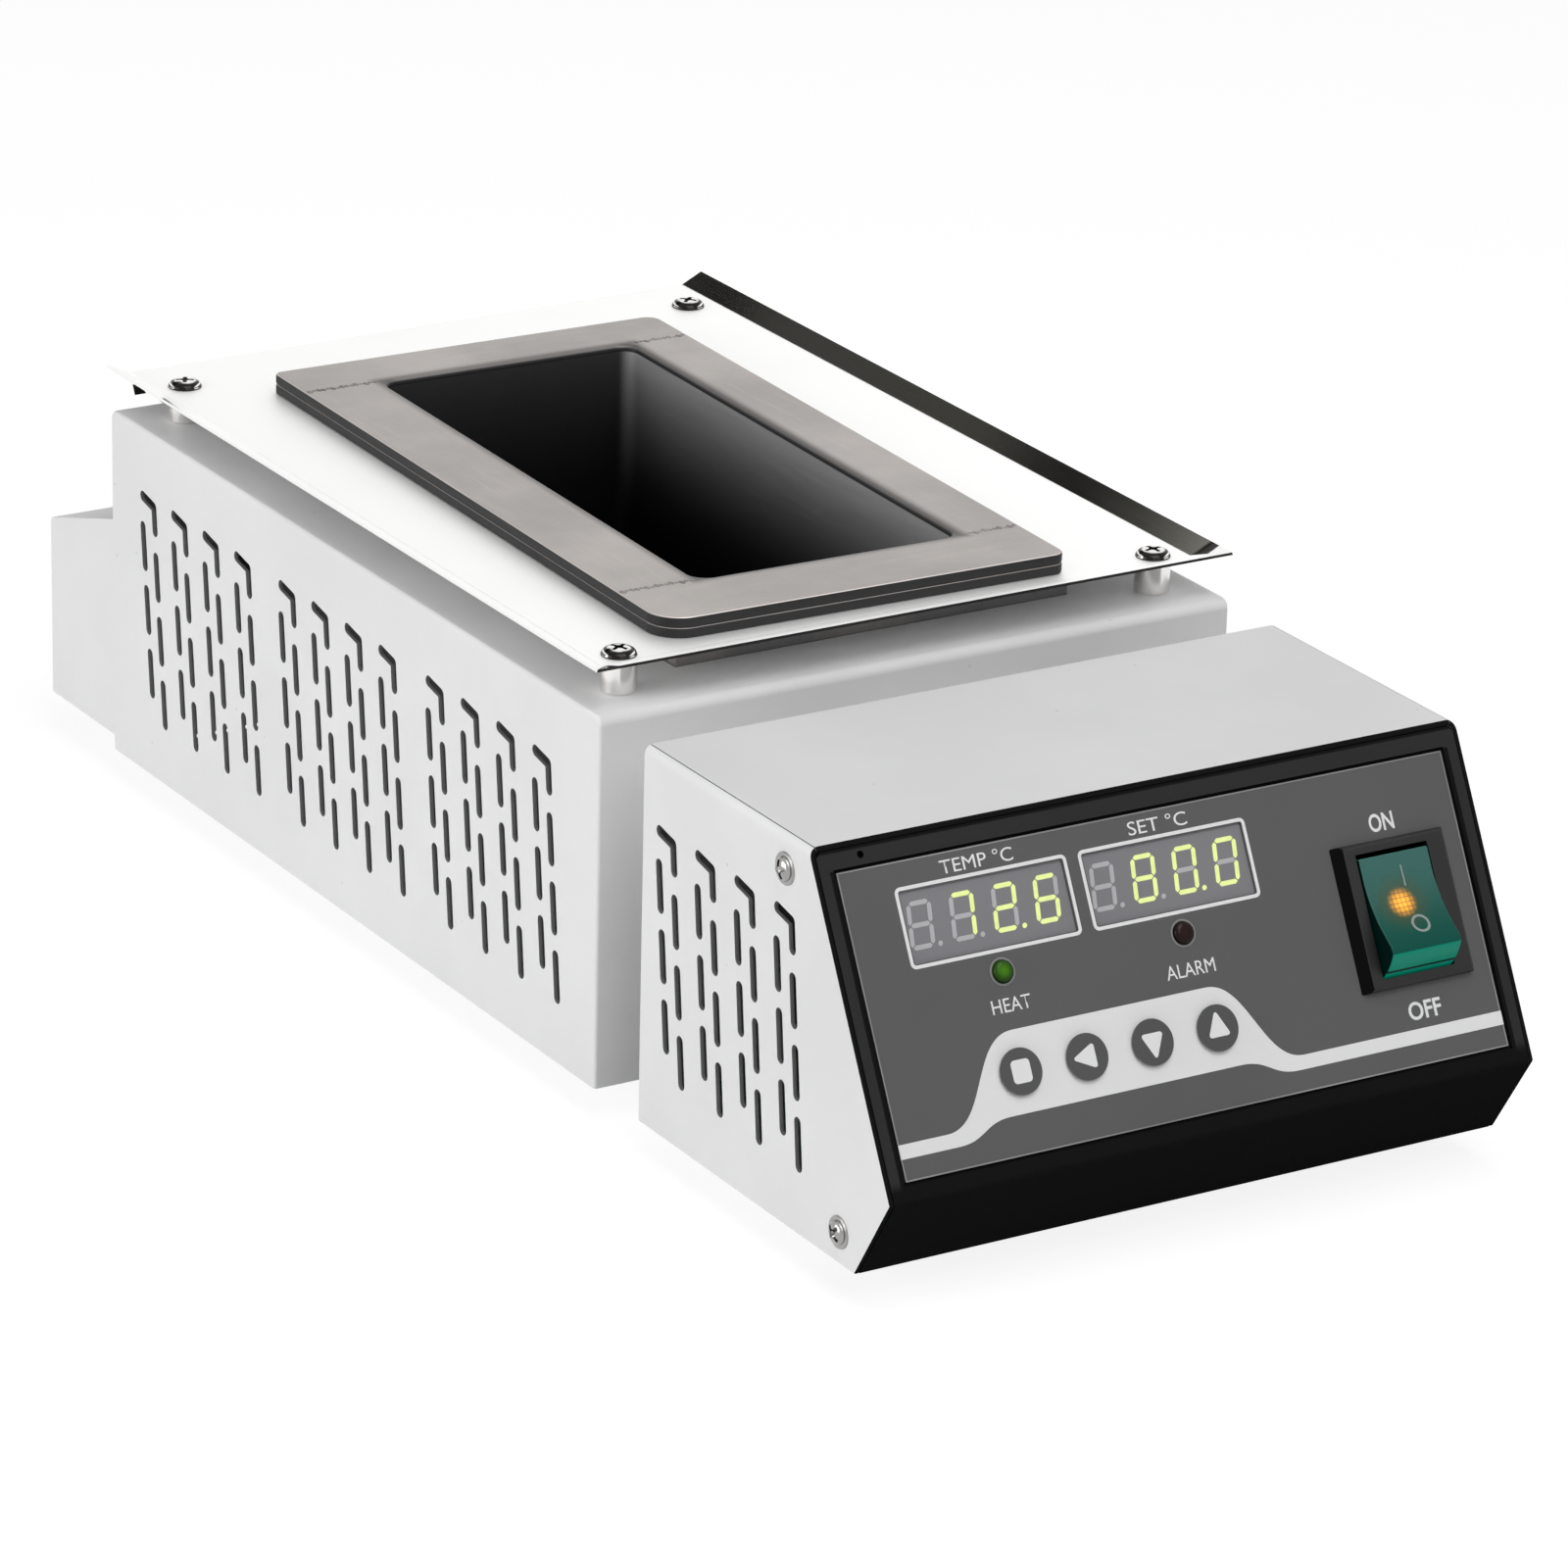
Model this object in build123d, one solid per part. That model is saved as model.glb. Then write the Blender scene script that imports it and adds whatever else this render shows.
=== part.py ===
from build123d import *
import os
from math import atan2, cos, radians, sin, tan

# A benchtop solder pot: a vented furnace with a welded bath on a drip tray, and a sloping control box.
# X runs across the control panel, Y from the panel to the rear, Z up; the feet stand on Z = 0.

# Main sizes, from the nose of the control panel to the cable gland at the rear
housing_width = 160.0
control_depth = 101.0
control_height = 85.6
body_gap = 18.8
furnace_length = 231.4
furnace_height = 85.2
terminal_depth = 34.3
gland_reach = 15.0
foot_height = 8.0

# Sheet metal and fits
sheet = 1.0
bend_radius = 2.2
front_bend_radius = 3.4
side_edge = 0.8
seam_gap = 0.15
fit_gap = 0.3
slide_gap = 0.06
lip_width = 9.0
overrun = 6.0

# Side profile of the control box
panel_setback = 34.6
nose_height = 20.0
nose_undercut = 12.7

# Stations that follow from the sizes above
overall_length = control_depth + body_gap + furnace_length + terminal_depth + gland_reach
nose_y = -overall_length / 2
panel_top_y = nose_y + panel_setback
panel_foot_y = nose_y + nose_undercut
control_rear_y = nose_y + control_depth
furnace_front_y = control_rear_y + body_gap
furnace_rear_y = furnace_front_y + furnace_length
terminal_rear_y = furnace_rear_y + terminal_depth
floor_z = foot_height
furnace_top_z = floor_z + furnace_height
control_top_z = floor_z + control_height
nose_z = floor_z + nose_height

# Vents: pairs of slot columns under a bent slot, leaning towards the panel as they go down
vent_width = 2.6
vent_slot_length = 12.1
vent_row_pitch = 15.4
vent_rows = 3
vent_pair_pitch = 15.95
vent_pairs = 4
vent_group_pitch = 69.8
vent_groups = 3
vent_lean = 6.0
vent_height = 68.9
vent_arm_reach = 6.9
vent_arm_drop = 1.4
vent_arm_leg = 7.1
vent_rear_column_back = 1.1
vent_rear_column_drop = 6.5
vent_front_column_back = 7.7
vent_front_column_drop = 12.3
furnace_vent_margin = 15.3
control_vent_margin = 5.7

# Furnace top, collar opening, rear wiring window and duct window
collar_width = 100.0
collar_length = 182.5
collar_setback = 19.7
collar_gap = 0.4
lead_window_width = 96.0
lead_window_bottom = 7.0
lead_window_height = 46.0
duct_width = 46.0
duct_height = 24.0
duct_rise = 16.0
duct_flange = 7.0
base_inset = 3.0
flange_setback = 4.0

# Terminal box on the furnace's rear wall
terminal_side_step = 0.5
terminal_lift = 3.0
terminal_front_height = 54.8
terminal_rear_height = 44.6
terminal_bend = 1.6

# Cable gland
gland_side_margin = 28.0
gland_height = 24.0
gland_thread = 12.0
gland_thread_length = 8.0
gland_bore = 6.5
gland_flats = 16.0
gland_hex_length = 6.0
gland_neck = 13.0

# Drip tray on its four pillars
tray_sheet = 0.6
tray_lift = 8.1
tray_side_inset = 5.0
tray_setback = 9.1
tray_flat_length = 222.6
tray_flange_rise = 2.7
tray_side_reach = 5.5
tray_front_reach = 8.7
tray_apron = 5.6
tray_apron_inset = 1.2
tray_opening_width = 80.0
tray_opening_length = 168.0
pillar_diameter = 8.0
pillar_side_inset = 12.0
pillar_setback = 3.9
pillar_rear_setback = 15.2
screw_thread = 4.0
tray_screw_head = 7.9
screw_head_height = 1.7
screw_sides = 8
tray_screw_length = 6.5

# Solder pot and the loose frame under its rim
rim_width = 101.0
rim_length = 189.0
rim_plate = 2.4
rim_setback = 13.2
rim_corner_radii = (8.0, 3.0, 3.5, 2.0)
pot_shift = -3.5
pot_turn = -1.4
bath_width = 65.5
bath_length = 151.0
bath_shift = 2.2
bath_setback = 21.0
bath_corner = 4.0
pot_wall = 2.5
pot_height = 55.0
pot_frame_gap = 0.6

# Liner, insulation and heater
liner_foot_width = 14.0
liner_foot_share = 0.28
insulation_wall = 7.0
insulation_floor = 12.0
insulation_top_drop = 12.0
heater_width = 62.0
heater_length = 146.0
heater_thickness = 14.0
heater_rods = 2
heater_rod_diameter = 8.0
heater_rod_pitch = 40.0
heater_rod_reach = 12.0
heater_bar_width = 10.0
heater_bar_height = 5.9
heater_bar_share = 0.3
rod_window_height = 12.0
probe_diameter = 4.0
probe_height = 47.0
probe_hex = 7.0
probe_hex_length = 8.0
probe_window = 6.0
terminal_block_size = (18.0, 14.0, 40.0)
terminal_block_height = 8.0
terminal_block_margin = 3.0
terminal_block_ways = 4
terminal_groove = 2.0

# Front frame of the control box, printed overlay and its raised band
frame_wall = 2.2
frame_return = 18.0
frame_nose_radius = 1.6
pocket_depth = 0.9
pocket_gap = 0.7
overlay_side_margin = 5.1
overlay_height = 64.0
overlay_drop = 6.0
overlay_thickness = 0.5
band_thickness = 0.12
key_row_x = -19.2
key_pitch = 16.1
key_drop = 53.1
key_count = 4
band_top = 44.4
band_half_top = 23.8
band_half_foot = 43.8
band_floor = 61.7
band_floor_half = 28.3
band_floor_half_foot = 41.8
stripe_top = 62.4
stripe_bottom = 65.4

# Keys, displays and lamps
key_diameter = 9.8
key_cap = 0.35
key_travel = 0.4
key_stem = 3.0
tact_size = 6.2
tact_height = 4.5
tact_depth = 2.2
display_pitch = 44.3
display_x = -19.8
display_drop = 19.85
display_width = 40.2
display_height = 15.8
window_margin = 0.4
lamp_drop = 32.4
lamp_diameter = 5.0
lamp_rise = 0.8
lamp_seat = 5.9
lamp_window_drop = 36.0
lamp_spacer = 7.0

# Rocker switch
switch_side_margin = 24.2
switch_drop = 37.4
bezel_width = 28.1
bezel_height = 31.3
bezel_rise = 2.2
bezel_bevel = 0.8
switch_body_width = 22.6
switch_body_height = 29.2
switch_body_depth = 22.0
rocker_width = 17.6
rocker_radius = 14.2
rocker_throw = 28.0
rocker_pivot_depth = 6.0
rocker_skirt = 3.4
rocker_face_rise = 0.3
trunnion_diameter = 3.0
trunnion_length = 1.6
blade_width = 6.3
blade_thickness = 0.8
blade_length = 8.0
blade_rows = 3
blade_columns = 2
blade_row_pitch = 8.6
blade_column_pitch = 11.0

# Boards and parts inside the control box
board_side_margin = 11.8
board_height = 60.0
board_thickness = 1.6
board_drop = 38.0
spacer_flats = 5.5
spacer_inset = 4.0
power_board_size = (88.0, 52.0)
power_board_side_margin = 14.0
power_board_setback = 6.0
power_board_lift = 6.0
core_size = (34.0, 30.0, 28.0)
coil_size = (22.0, 40.0, 20.0)
coil_x = -18.0
heatsink_size = (24.0, 42.0, 26.0)
heatsink_side_margin = 22.0
heatsink_fins = 5
heatsink_fin = 1.6
heatsink_foot = 4.0
relay_size = (18.0, 22.0, 15.0)
relay_x = 20.0

# Feet and side screws
foot_diameter = 16.0
foot_inset = 24.0
front_foot_setback = 34.0
rear_foot_setback = 22.0
side_screw_head = 7.2
side_screw_length = 5.0
upper_screw_back = 8.8
upper_screw_drop = 7.4
lower_screw_back = 19.1
lower_screw_rise = 6.9

# Heights and places that follow from the sizes above
half_width = housing_width / 2
terminal_width = housing_width - 2 * terminal_side_step
gland_x = half_width - gland_side_margin
tray_flat_width = housing_width - 2 * tray_side_inset
pillar_x = half_width - pillar_side_inset
overlay_width = housing_width - 2 * overlay_side_margin
switch_x = half_width - switch_side_margin
board_width = display_pitch + display_width + 2 * board_side_margin
board_x = display_x
power_board_x = power_board_side_margin + power_board_size[0] / 2 - half_width
heatsink_x = half_width - heatsink_side_margin - heatsink_size[0] / 2
tray_top_z = furnace_top_z + tray_lift
tray_bottom_z = tray_top_z - tray_sheet
rim_top_z = tray_top_z + rim_plate + rim_plate
pot_bottom_z = rim_top_z - pot_height
heater_bottom_z = pot_bottom_z - heater_thickness
insulation_floor_z = heater_bottom_z - heater_bar_height
liner_bottom_z = insulation_floor_z - insulation_floor - sheet
liner_lift = liner_bottom_z - floor_z
heater_z = pot_bottom_z - heater_thickness / 2
probe_z = floor_z + probe_height
collar_y = furnace_front_y + collar_setback + collar_length / 2
rim_y = furnace_front_y + rim_setback + rim_length / 2
bath_y = furnace_front_y + rim_setback + bath_setback + bath_length / 2
tray_front_y = furnace_front_y + tray_setback
tray_rear_y = tray_front_y + tray_flat_length
pillar_ys = (tray_front_y + pillar_setback, tray_rear_y - pillar_rear_setback)
panel_tilt = atan2(panel_setback, control_height - nose_height)
inner_half_width = half_width - sheet
frame_half_width = inner_half_width - seam_gap
overlay_face = overlay_thickness - pocket_depth
band_face = overlay_face + band_thickness
board_face = -pocket_depth - overlay_thickness - lamp_spacer
display_xs = (display_x - display_pitch / 2, display_x + display_pitch / 2)
key_xs = [key_row_x + (i - (key_count - 1) / 2) * key_pitch for i in range(key_count)]
rocker_pivot_z = overlay_face + bezel_rise - rocker_pivot_depth

panel = Plane(
    origin=(0, panel_top_y, control_top_z),
    x_dir=(1, 0, 0),
    z_dir=(0, -cos(panel_tilt), sin(panel_tilt)),
).location

low = (Align.CENTER, Align.CENTER, Align.MIN)
high = (Align.CENTER, Align.CENTER, Align.MAX)
from_front = (Align.CENTER, Align.MIN, Align.MIN)
towards_rear = Rot(-90, 0, 0)


def on_panel(x, drop, lift=0.0):
    """Place on the sloping panel: across, down from its top edge, and out of its face."""
    return panel * Pos(x, -drop, lift)


def side_prism(points, width):
    """A prism across the machine from an outline of (y, z) points."""
    outline = make_face(Polyline(*points, close=True))
    return extrude(Plane.YZ * outline, amount=width / 2, both=True)


def prism(sides, flats, height):
    """A regular prism by its width across flats, standing on the origin."""
    return extrude(RegularPolygon(flats / 2, sides, major_radius=False), amount=height)


def shank(gap, length):
    """A screw's hidden shank, or the hole for it: eight-sided, to keep its mesh light."""
    return prism(screw_sides, screw_thread + 2 * gap, length)


def furnace_point(y, z):
    """A point of the furnace's inside, from its front wall and floor plane."""
    return Pos(0, furnace_front_y + y, floor_z + z)


def leaning_slot(y, z, length):
    """One straight slot from its top point, leaning forward as it goes down."""
    slot = Rectangle(vent_width, length, align=(Align.CENTER, Align.MAX))
    return Pos(y, z) * Rot(0, 0, -vent_lean) * slot


def bent_slot(y, z):
    """The bent slot at the head of a pair: a sloping arm towards the panel, then a leg down."""
    lean = radians(vent_lean)
    arm = atan2(vent_arm_drop, vent_arm_reach)
    half = vent_width / 2
    knee = (y - vent_arm_reach, z - vent_arm_drop)
    foot = (knee[0] - vent_arm_leg * sin(lean), knee[1] - vent_arm_leg * cos(lean))
    across_arm = (half * -sin(arm), half * cos(arm))
    across_leg = (half * cos(lean), half * -sin(lean))
    inner = half / cos(arm + lean)
    outline = Polyline(
        (y + across_arm[0], z + across_arm[1]),
        (knee[0] + across_arm[0], knee[1] + across_arm[1]),
        (knee[0] - across_leg[0], knee[1] - across_leg[1]),
        (foot[0] - across_leg[0], foot[1] - across_leg[1]),
        (foot[0] + across_leg[0], foot[1] + across_leg[1]),
        (knee[0] + inner * (cos(arm) - sin(lean)), knee[1] + inner * (sin(arm) - cos(lean))),
        (y - across_arm[0], z - across_arm[1]),
        close=True,
    )
    return make_face(outline)


def vent_pair(y):
    """A bent slot with its two staggered columns of straight slots, on the side plane."""
    step_y = -vent_row_pitch * tan(radians(vent_lean))
    top = floor_z + vent_height
    columns = (
        (vent_rear_column_back, vent_rear_column_drop),
        (vent_front_column_back, vent_front_column_drop),
    )
    slots = [bent_slot(y, top)]
    for back, drop in columns:
        for row in range(vent_rows):
            slot_top = top - drop - row * vent_row_pitch
            slots.append(leaning_slot(y - back + row * step_y, slot_top, vent_slot_length))
    return slots


def vent_cutter(first_y, groups):
    """Vents through both side walls, from the rearmost pair forward."""
    slots = []
    for group in range(groups):
        for pair in range(vent_pairs):
            slots += vent_pair(first_y - group * vent_group_pitch - pair * vent_pair_pitch)
    return extrude(Plane.YZ * Sketch(slots), amount=half_width + overrun, both=True)


def furnace_shell():
    """Folded box, open below, with vents, the collar opening and windows for leads and wiring."""
    body = furnace_point(0, 0) * Box(housing_width, furnace_length, furnace_height, align=from_front)
    body = chamfer(body.edges().group_by(Axis.Z)[-1].filter_by(Axis.Y), side_edge)
    body = fillet(body.edges().group_by(Axis.Z)[-1].filter_by(Axis.X), front_bend_radius)
    inside = (2 * inner_half_width, furnace_length - 2 * sheet, furnace_height - sheet)
    cavity = furnace_point(sheet, 0) * Box(*inside, align=from_front)
    shell = body - fillet(cavity.edges().group_by(Axis.Z)[-1].filter_by(Axis.X), front_bend_radius - sheet)
    lip_length = furnace_length - 2 * sheet
    for side in (-1, 1):
        lip_x = side * (housing_width - lip_width - sheet) / 2
        lip = Box(lip_width, lip_length, sheet, align=low)
        shell += Pos(lip_x, (furnace_front_y + furnace_rear_y) / 2, floor_z) * lip
    collar = Box(collar_width + 2 * collar_gap, collar_length + 2 * collar_gap, overrun)
    shell -= Pos(0, collar_y, furnace_top_z) * collar
    window = Box(lead_window_width, overrun, lead_window_height, align=low)
    shell -= Pos(0, furnace_rear_y, floor_z + lead_window_bottom) * window
    shell -= Pos(0, furnace_front_y, floor_z + duct_rise) * Box(duct_width, overrun, duct_height, align=low)
    return shell - vent_cutter(furnace_rear_y - furnace_vent_margin, vent_groups)


def furnace_base():
    """Flat bottom plate, screwed up against the lips of the furnace."""
    plate = Box(housing_width - 2 * base_inset, furnace_length - 2 * base_inset, sheet, align=high)
    return Pos(0, (furnace_front_y + furnace_rear_y) / 2, floor_z) * plate


def terminal_box():
    """Cover for the heater leads, with a top that slopes down to the rear."""
    bottom = floor_z + terminal_lift
    body = side_prism(
        [
            (furnace_rear_y, bottom),
            (furnace_rear_y, bottom + terminal_front_height),
            (terminal_rear_y, bottom + terminal_rear_height),
            (terminal_rear_y, bottom),
        ],
        terminal_width,
    )
    rear_top = body.edges().filter_by(Axis.X).group_by(Axis.Y)[-1].sort_by(Axis.Z)[-1]
    body = fillet(rear_top, terminal_bend)
    shell = offset(body, -sheet, openings=body.faces().sort_by(Axis.Y)[0])
    hole = Cylinder(gland_thread / 2 + seam_gap, overrun)
    return shell - Pos(gland_x, terminal_rear_y, floor_z + gland_height) * towards_rear * hole


def gland_place(y):
    """Place on the gland's axis."""
    return Pos(gland_x, y, floor_z + gland_height) * towards_rear


def cable_gland():
    """Gland: hexagon and neck outside the wall, threaded tail through it, and the cord's bore."""
    tail_length = gland_thread_length + sheet
    tail = Pos(0, 0, -tail_length) * Cylinder(gland_thread / 2, tail_length, align=low)
    neck = Cylinder(gland_neck / 2, gland_reach, align=low)
    bore = Cylinder(gland_bore / 2, 2 * overall_length)
    return gland_place(terminal_rear_y) * (prism(6, gland_flats, gland_hex_length) + neck + tail - bore)


def tray_outline(side_reach, front_reach):
    """Outline of the tray from its rear edge, let out at the sides and the front."""
    width = tray_flat_width + 2 * side_reach
    return Rectangle(width, tray_flat_length + front_reach, align=(Align.CENTER, Align.MAX))


def tray_dish(z):
    """Solid dish from the tray's fold lines out and up to the tips of its flanges."""
    tips = Pos(0, 0, tray_flange_rise) * tray_outline(tray_side_reach, tray_front_reach)
    return Pos(0, tray_rear_y, z) * loft([tray_outline(0, 0), tips], ruled=True)


def drip_tray():
    """Polished tray: flat bed with turned-up sides and front, and an apron folded down at the rear."""
    edge = extrude(tray_outline(tray_side_reach, tray_front_reach), amount=tray_sheet)
    tray = tray_dish(tray_bottom_z) + Pos(0, tray_rear_y, tray_bottom_z + tray_flange_rise) * edge
    tray -= tray_dish(tray_top_z)
    apron_width = tray_flat_width - 2 * tray_apron_inset
    apron = Box(apron_width, tray_sheet, tray_apron, align=(Align.CENTER, Align.MAX, Align.MAX))
    tray += Pos(0, tray_rear_y, tray_top_z) * apron
    tray -= Pos(0, collar_y, tray_bottom_z) * Box(tray_opening_width, tray_opening_length, overrun)
    return tray - pillar_places(tray_bottom_z, shank(seam_gap, tray_sheet))


def pillar_places(z, piece):
    """Copies of a piece on the tray's four fixing points."""
    return Compound([Pos(side * pillar_x, y, z) * piece for side in (-1, 1) for y in pillar_ys])


def tray_pillars():
    """Four threaded pillars that carry the tray above the furnace."""
    length = tray_bottom_z - furnace_top_z
    pillar = Cylinder(pillar_diameter / 2, length, align=low)
    return pillar_places(furnace_top_z, pillar - shank(slide_gap, length))


def screw(head_diameter, length):
    """Pan-head screw, head up, with its seat at the origin."""
    head = Cylinder(head_diameter / 2, screw_head_height, align=low)
    return head + Pos(0, 0, -length) * shank(0, length)


def tray_screws():
    """Four screws that hold the tray to its pillars."""
    return pillar_places(tray_top_z, screw(tray_screw_head, tray_screw_length))


def pot_place(x=0.0, y=0.0, z=0.0):
    """Place in the pot's own frame, which sits a little off centre and turned on the tray."""
    return Pos(pot_shift, rim_y, 0) * Rot(0, 0, pot_turn) * Pos(x, y, z)


def rim_outline():
    """Outline of the pot's rim with its four hand-rounded corners."""
    outline = Rectangle(rim_width, rim_length)
    corners = ((-1, -1), (1, -1), (1, 1), (-1, 1))
    for (side_x, side_y), radius in zip(corners, rim_corner_radii):
        target = (side_x * rim_width / 2, side_y * rim_length / 2, 0)
        corner = outline.vertices().sort_by_distance(target)[0]
        outline = fillet(corner, radius)
    return outline


def solder_pot():
    """Welded bath with a flat rim: one vessel, open at the top."""
    bath_offset = bath_y - rim_y
    body = Box(bath_width + 2 * pot_wall, bath_length + 2 * pot_wall, pot_height - rim_plate, align=low)
    cavity = Box(bath_width, bath_length, pot_height, align=low)
    cavity = fillet(cavity.edges().filter_by(Axis.Z), bath_corner)
    pot = pot_place(0, 0, rim_top_z - rim_plate) * extrude(rim_outline(), amount=rim_plate)
    pot += pot_place(bath_shift, bath_offset, pot_bottom_z) * body
    return pot - pot_place(bath_shift, bath_offset, pot_bottom_z + pot_wall) * cavity


def pot_frame():
    """Loose flat frame between the pot's rim and the tray."""
    hole_width = bath_width + 2 * pot_wall + 2 * pot_frame_gap
    hole_length = bath_length + 2 * pot_wall + 2 * pot_frame_gap
    hole = Box(hole_width, hole_length, 2 * overrun)
    plate = pot_place(0, 0, tray_top_z) * extrude(rim_outline(), amount=rim_plate)
    return plate - pot_place(bath_shift, bath_y - rim_y, tray_top_z) * hole


def collar_box(inset, bottom, top):
    """Block inside the collar's outline, held back from it on every side."""
    size = (collar_width - 2 * inset, collar_length - 2 * inset, top - bottom)
    return Pos(0, collar_y, bottom) * Box(*size, align=low)


def rod_window(inset):
    """Opening in a rear wall of the liner or insulation for the heater rods."""
    width = (heater_rods - 1) * heater_rod_pitch + rod_window_height
    depth = inset + overrun
    block = Box(width, depth, rod_window_height, align=(Align.CENTER, Align.MAX, Align.CENTER))
    return Pos(0, collar_y + collar_length / 2 + overrun / 2, heater_z) * block


def probe_hole(inset):
    """Opening in the same wall for the temperature probe."""
    block = Box(probe_window, inset + overrun, probe_window, align=(Align.CENTER, Align.MAX, Align.CENTER))
    return Pos(0, collar_y + collar_length / 2 + overrun / 2, probe_z) * block


def inner_liner():
    """Sheet box that hangs in the collar opening, carries the tray and keeps the insulation in."""
    liner = collar_box(0, liner_bottom_z, tray_bottom_z)
    liner -= collar_box(sheet, liner_bottom_z + sheet, tray_top_z)
    return liner - rod_window(sheet) - probe_hole(sheet)


def liner_feet():
    """Two channels that stand the liner on the furnace's base."""
    length = collar_width - 2 * lip_width
    channel = Box(length, liner_foot_width, liner_lift, align=low)
    inside = Box(length, liner_foot_width - 2 * sheet, liner_lift - sheet, align=low)
    channel -= inside
    shares = (-liner_foot_share, liner_foot_share)
    return Compound([Pos(0, collar_y + share * collar_length, floor_z) * channel for share in shares])


def insulation():
    """Ceramic fibre tub between the liner and the pot."""
    outside = sheet + seam_gap
    inside = outside + insulation_wall
    tub = collar_box(outside, liner_bottom_z + sheet, tray_bottom_z - insulation_top_drop)
    tub -= collar_box(inside, insulation_floor_z, tray_top_z)
    return tub - rod_window(inside + overrun) - probe_hole(inside + overrun)


def rod_xs():
    """Across positions of the heater rods."""
    return [(i - (heater_rods - 1) / 2) * heater_rod_pitch for i in range(heater_rods)]


def heater():
    """Cast heater plate under the pot, with the ends of its tubular elements out to the terminal box."""
    plate = Pos(0, bath_y, heater_bottom_z) * Box(heater_width, heater_length, heater_thickness, align=low)
    plate_rear = bath_y + heater_length / 2
    end = Cylinder(heater_rod_diameter / 2, furnace_rear_y + heater_rod_reach - plate_rear, align=low)
    for x in rod_xs():
        plate += Pos(x, plate_rear, heater_z) * towards_rear * end
    return plate


def heater_bars():
    """Two ceramic cross bars that carry the heater on the insulation."""
    bar = Box(heater_width, heater_bar_width, heater_bar_height, align=low)
    shares = (-heater_bar_share, heater_bar_share)
    return Compound([Pos(0, bath_y + share * heater_length, insulation_floor_z) * bar for share in shares])


def temperature_probe():
    """Probe against the pot's rear wall, with a hexagon fitting behind the furnace wall."""
    pot_rear = bath_y + bath_length / 2 + pot_wall
    length = furnace_rear_y + probe_hex_length + sheet - pot_rear - fit_gap
    probe = Cylinder(probe_diameter / 2, length, align=low)
    probe += Pos(0, 0, length - probe_hex_length) * prism(6, probe_hex, probe_hex_length)
    return Pos(0, pot_rear + fit_gap, probe_z) * towards_rear * probe


def terminal_block():
    """Ceramic block for the heater leads, fixed on the furnace's rear wall."""
    width, depth, height = terminal_block_size
    block = Box(width, depth, height, align=from_front)
    way = height / terminal_block_ways
    for i in range(1, terminal_block_ways):
        block -= Pos(0, depth, i * way) * Box(width, terminal_groove * 2, terminal_groove)
    x = -(lead_window_width + width) / 2 - terminal_block_margin
    return Pos(x, furnace_rear_y, floor_z + terminal_block_height) * block


def control_outline():
    """Side outline of the control box."""
    return [
        (control_rear_y, floor_z),
        (control_rear_y, control_top_z),
        (panel_top_y, control_top_z),
        (nose_y, nose_z),
        (panel_foot_y, floor_z),
    ]


def screw_points():
    """Side-screw places on the control box, as (y, z)."""
    upper = (panel_top_y + upper_screw_back, control_top_z - upper_screw_drop)
    lower = (nose_y + lower_screw_back, floor_z + lower_screw_rise)
    return (upper, lower)


def side_screw_holes():
    """Clearance holes for the side screws, right across the box."""
    hole = shank(seam_gap, housing_width)
    return Compound([Pos(-half_width, y, z) * Rot(0, 90, 0) * hole for y, z in screw_points()])


def control_housing():
    """One folded sheet: left side, top and right side, with vents in both sides."""
    outside = Rectangle(housing_width, control_height, align=(Align.CENTER, Align.MIN))
    outside = fillet(outside.vertices().group_by(Axis.Y)[-1], bend_radius)
    inside = Rectangle(inner_half_width * 2, control_height - sheet, align=(Align.CENTER, Align.MIN))
    inside = fillet(inside.vertices().group_by(Axis.Y)[-1], bend_radius - sheet)
    section = Plane(origin=(0, control_rear_y, floor_z), x_dir=(1, 0, 0), z_dir=(0, -1, 0))
    sleeve = extrude(section * (outside - inside), amount=control_depth)
    housing = sleeve & side_prism(control_outline(), housing_width)
    housing -= vent_cutter(control_rear_y - control_vent_margin, 1)
    return housing - side_screw_holes()


def control_base():
    """Floor and rear wall of the control box, folded from one sheet."""
    front_y = panel_foot_y + frame_return + 2 * fit_gap
    width = 2 * frame_half_width
    depth = control_rear_y - front_y
    base = Pos(0, front_y, floor_z) * Box(width, depth, sheet, align=from_front)
    wall_height = control_height - sheet - seam_gap
    wall = Box(width, sheet, wall_height, align=(Align.CENTER, Align.MAX, Align.MIN))
    wall = chamfer(wall.edges().filter_by(Axis.Y).group_by(Axis.Z)[-1], bend_radius - sheet)
    base += Pos(0, control_rear_y, floor_z) * wall
    for side in (-1, 1):
        flange = Box(sheet, depth - flange_setback, lip_width, align=from_front)
        base += Pos(side * (frame_half_width - sheet / 2), front_y + flange_setback, floor_z) * flange
    window = Box(duct_width, overrun, duct_height, align=low)
    return base - Pos(0, control_rear_y, floor_z + duct_rise) * window


def wiring_duct():
    """Short sheet duct that joins the two boxes and carries the wiring across the gap."""
    height = duct_height
    duct = Box(duct_width, body_gap, height, align=from_front)
    for end in (0, body_gap - sheet):
        flange = Box(duct_width + 2 * duct_flange, sheet, height + 2 * duct_flange, align=from_front)
        duct += Pos(0, end, -duct_flange) * flange
    passage = Box(duct_width - 2 * sheet, body_gap + 2 * sheet, height - 2 * sheet, align=from_front)
    duct -= Pos(0, -sheet, sheet) * passage
    return Pos(0, control_rear_y, floor_z + duct_rise) * duct


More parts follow.
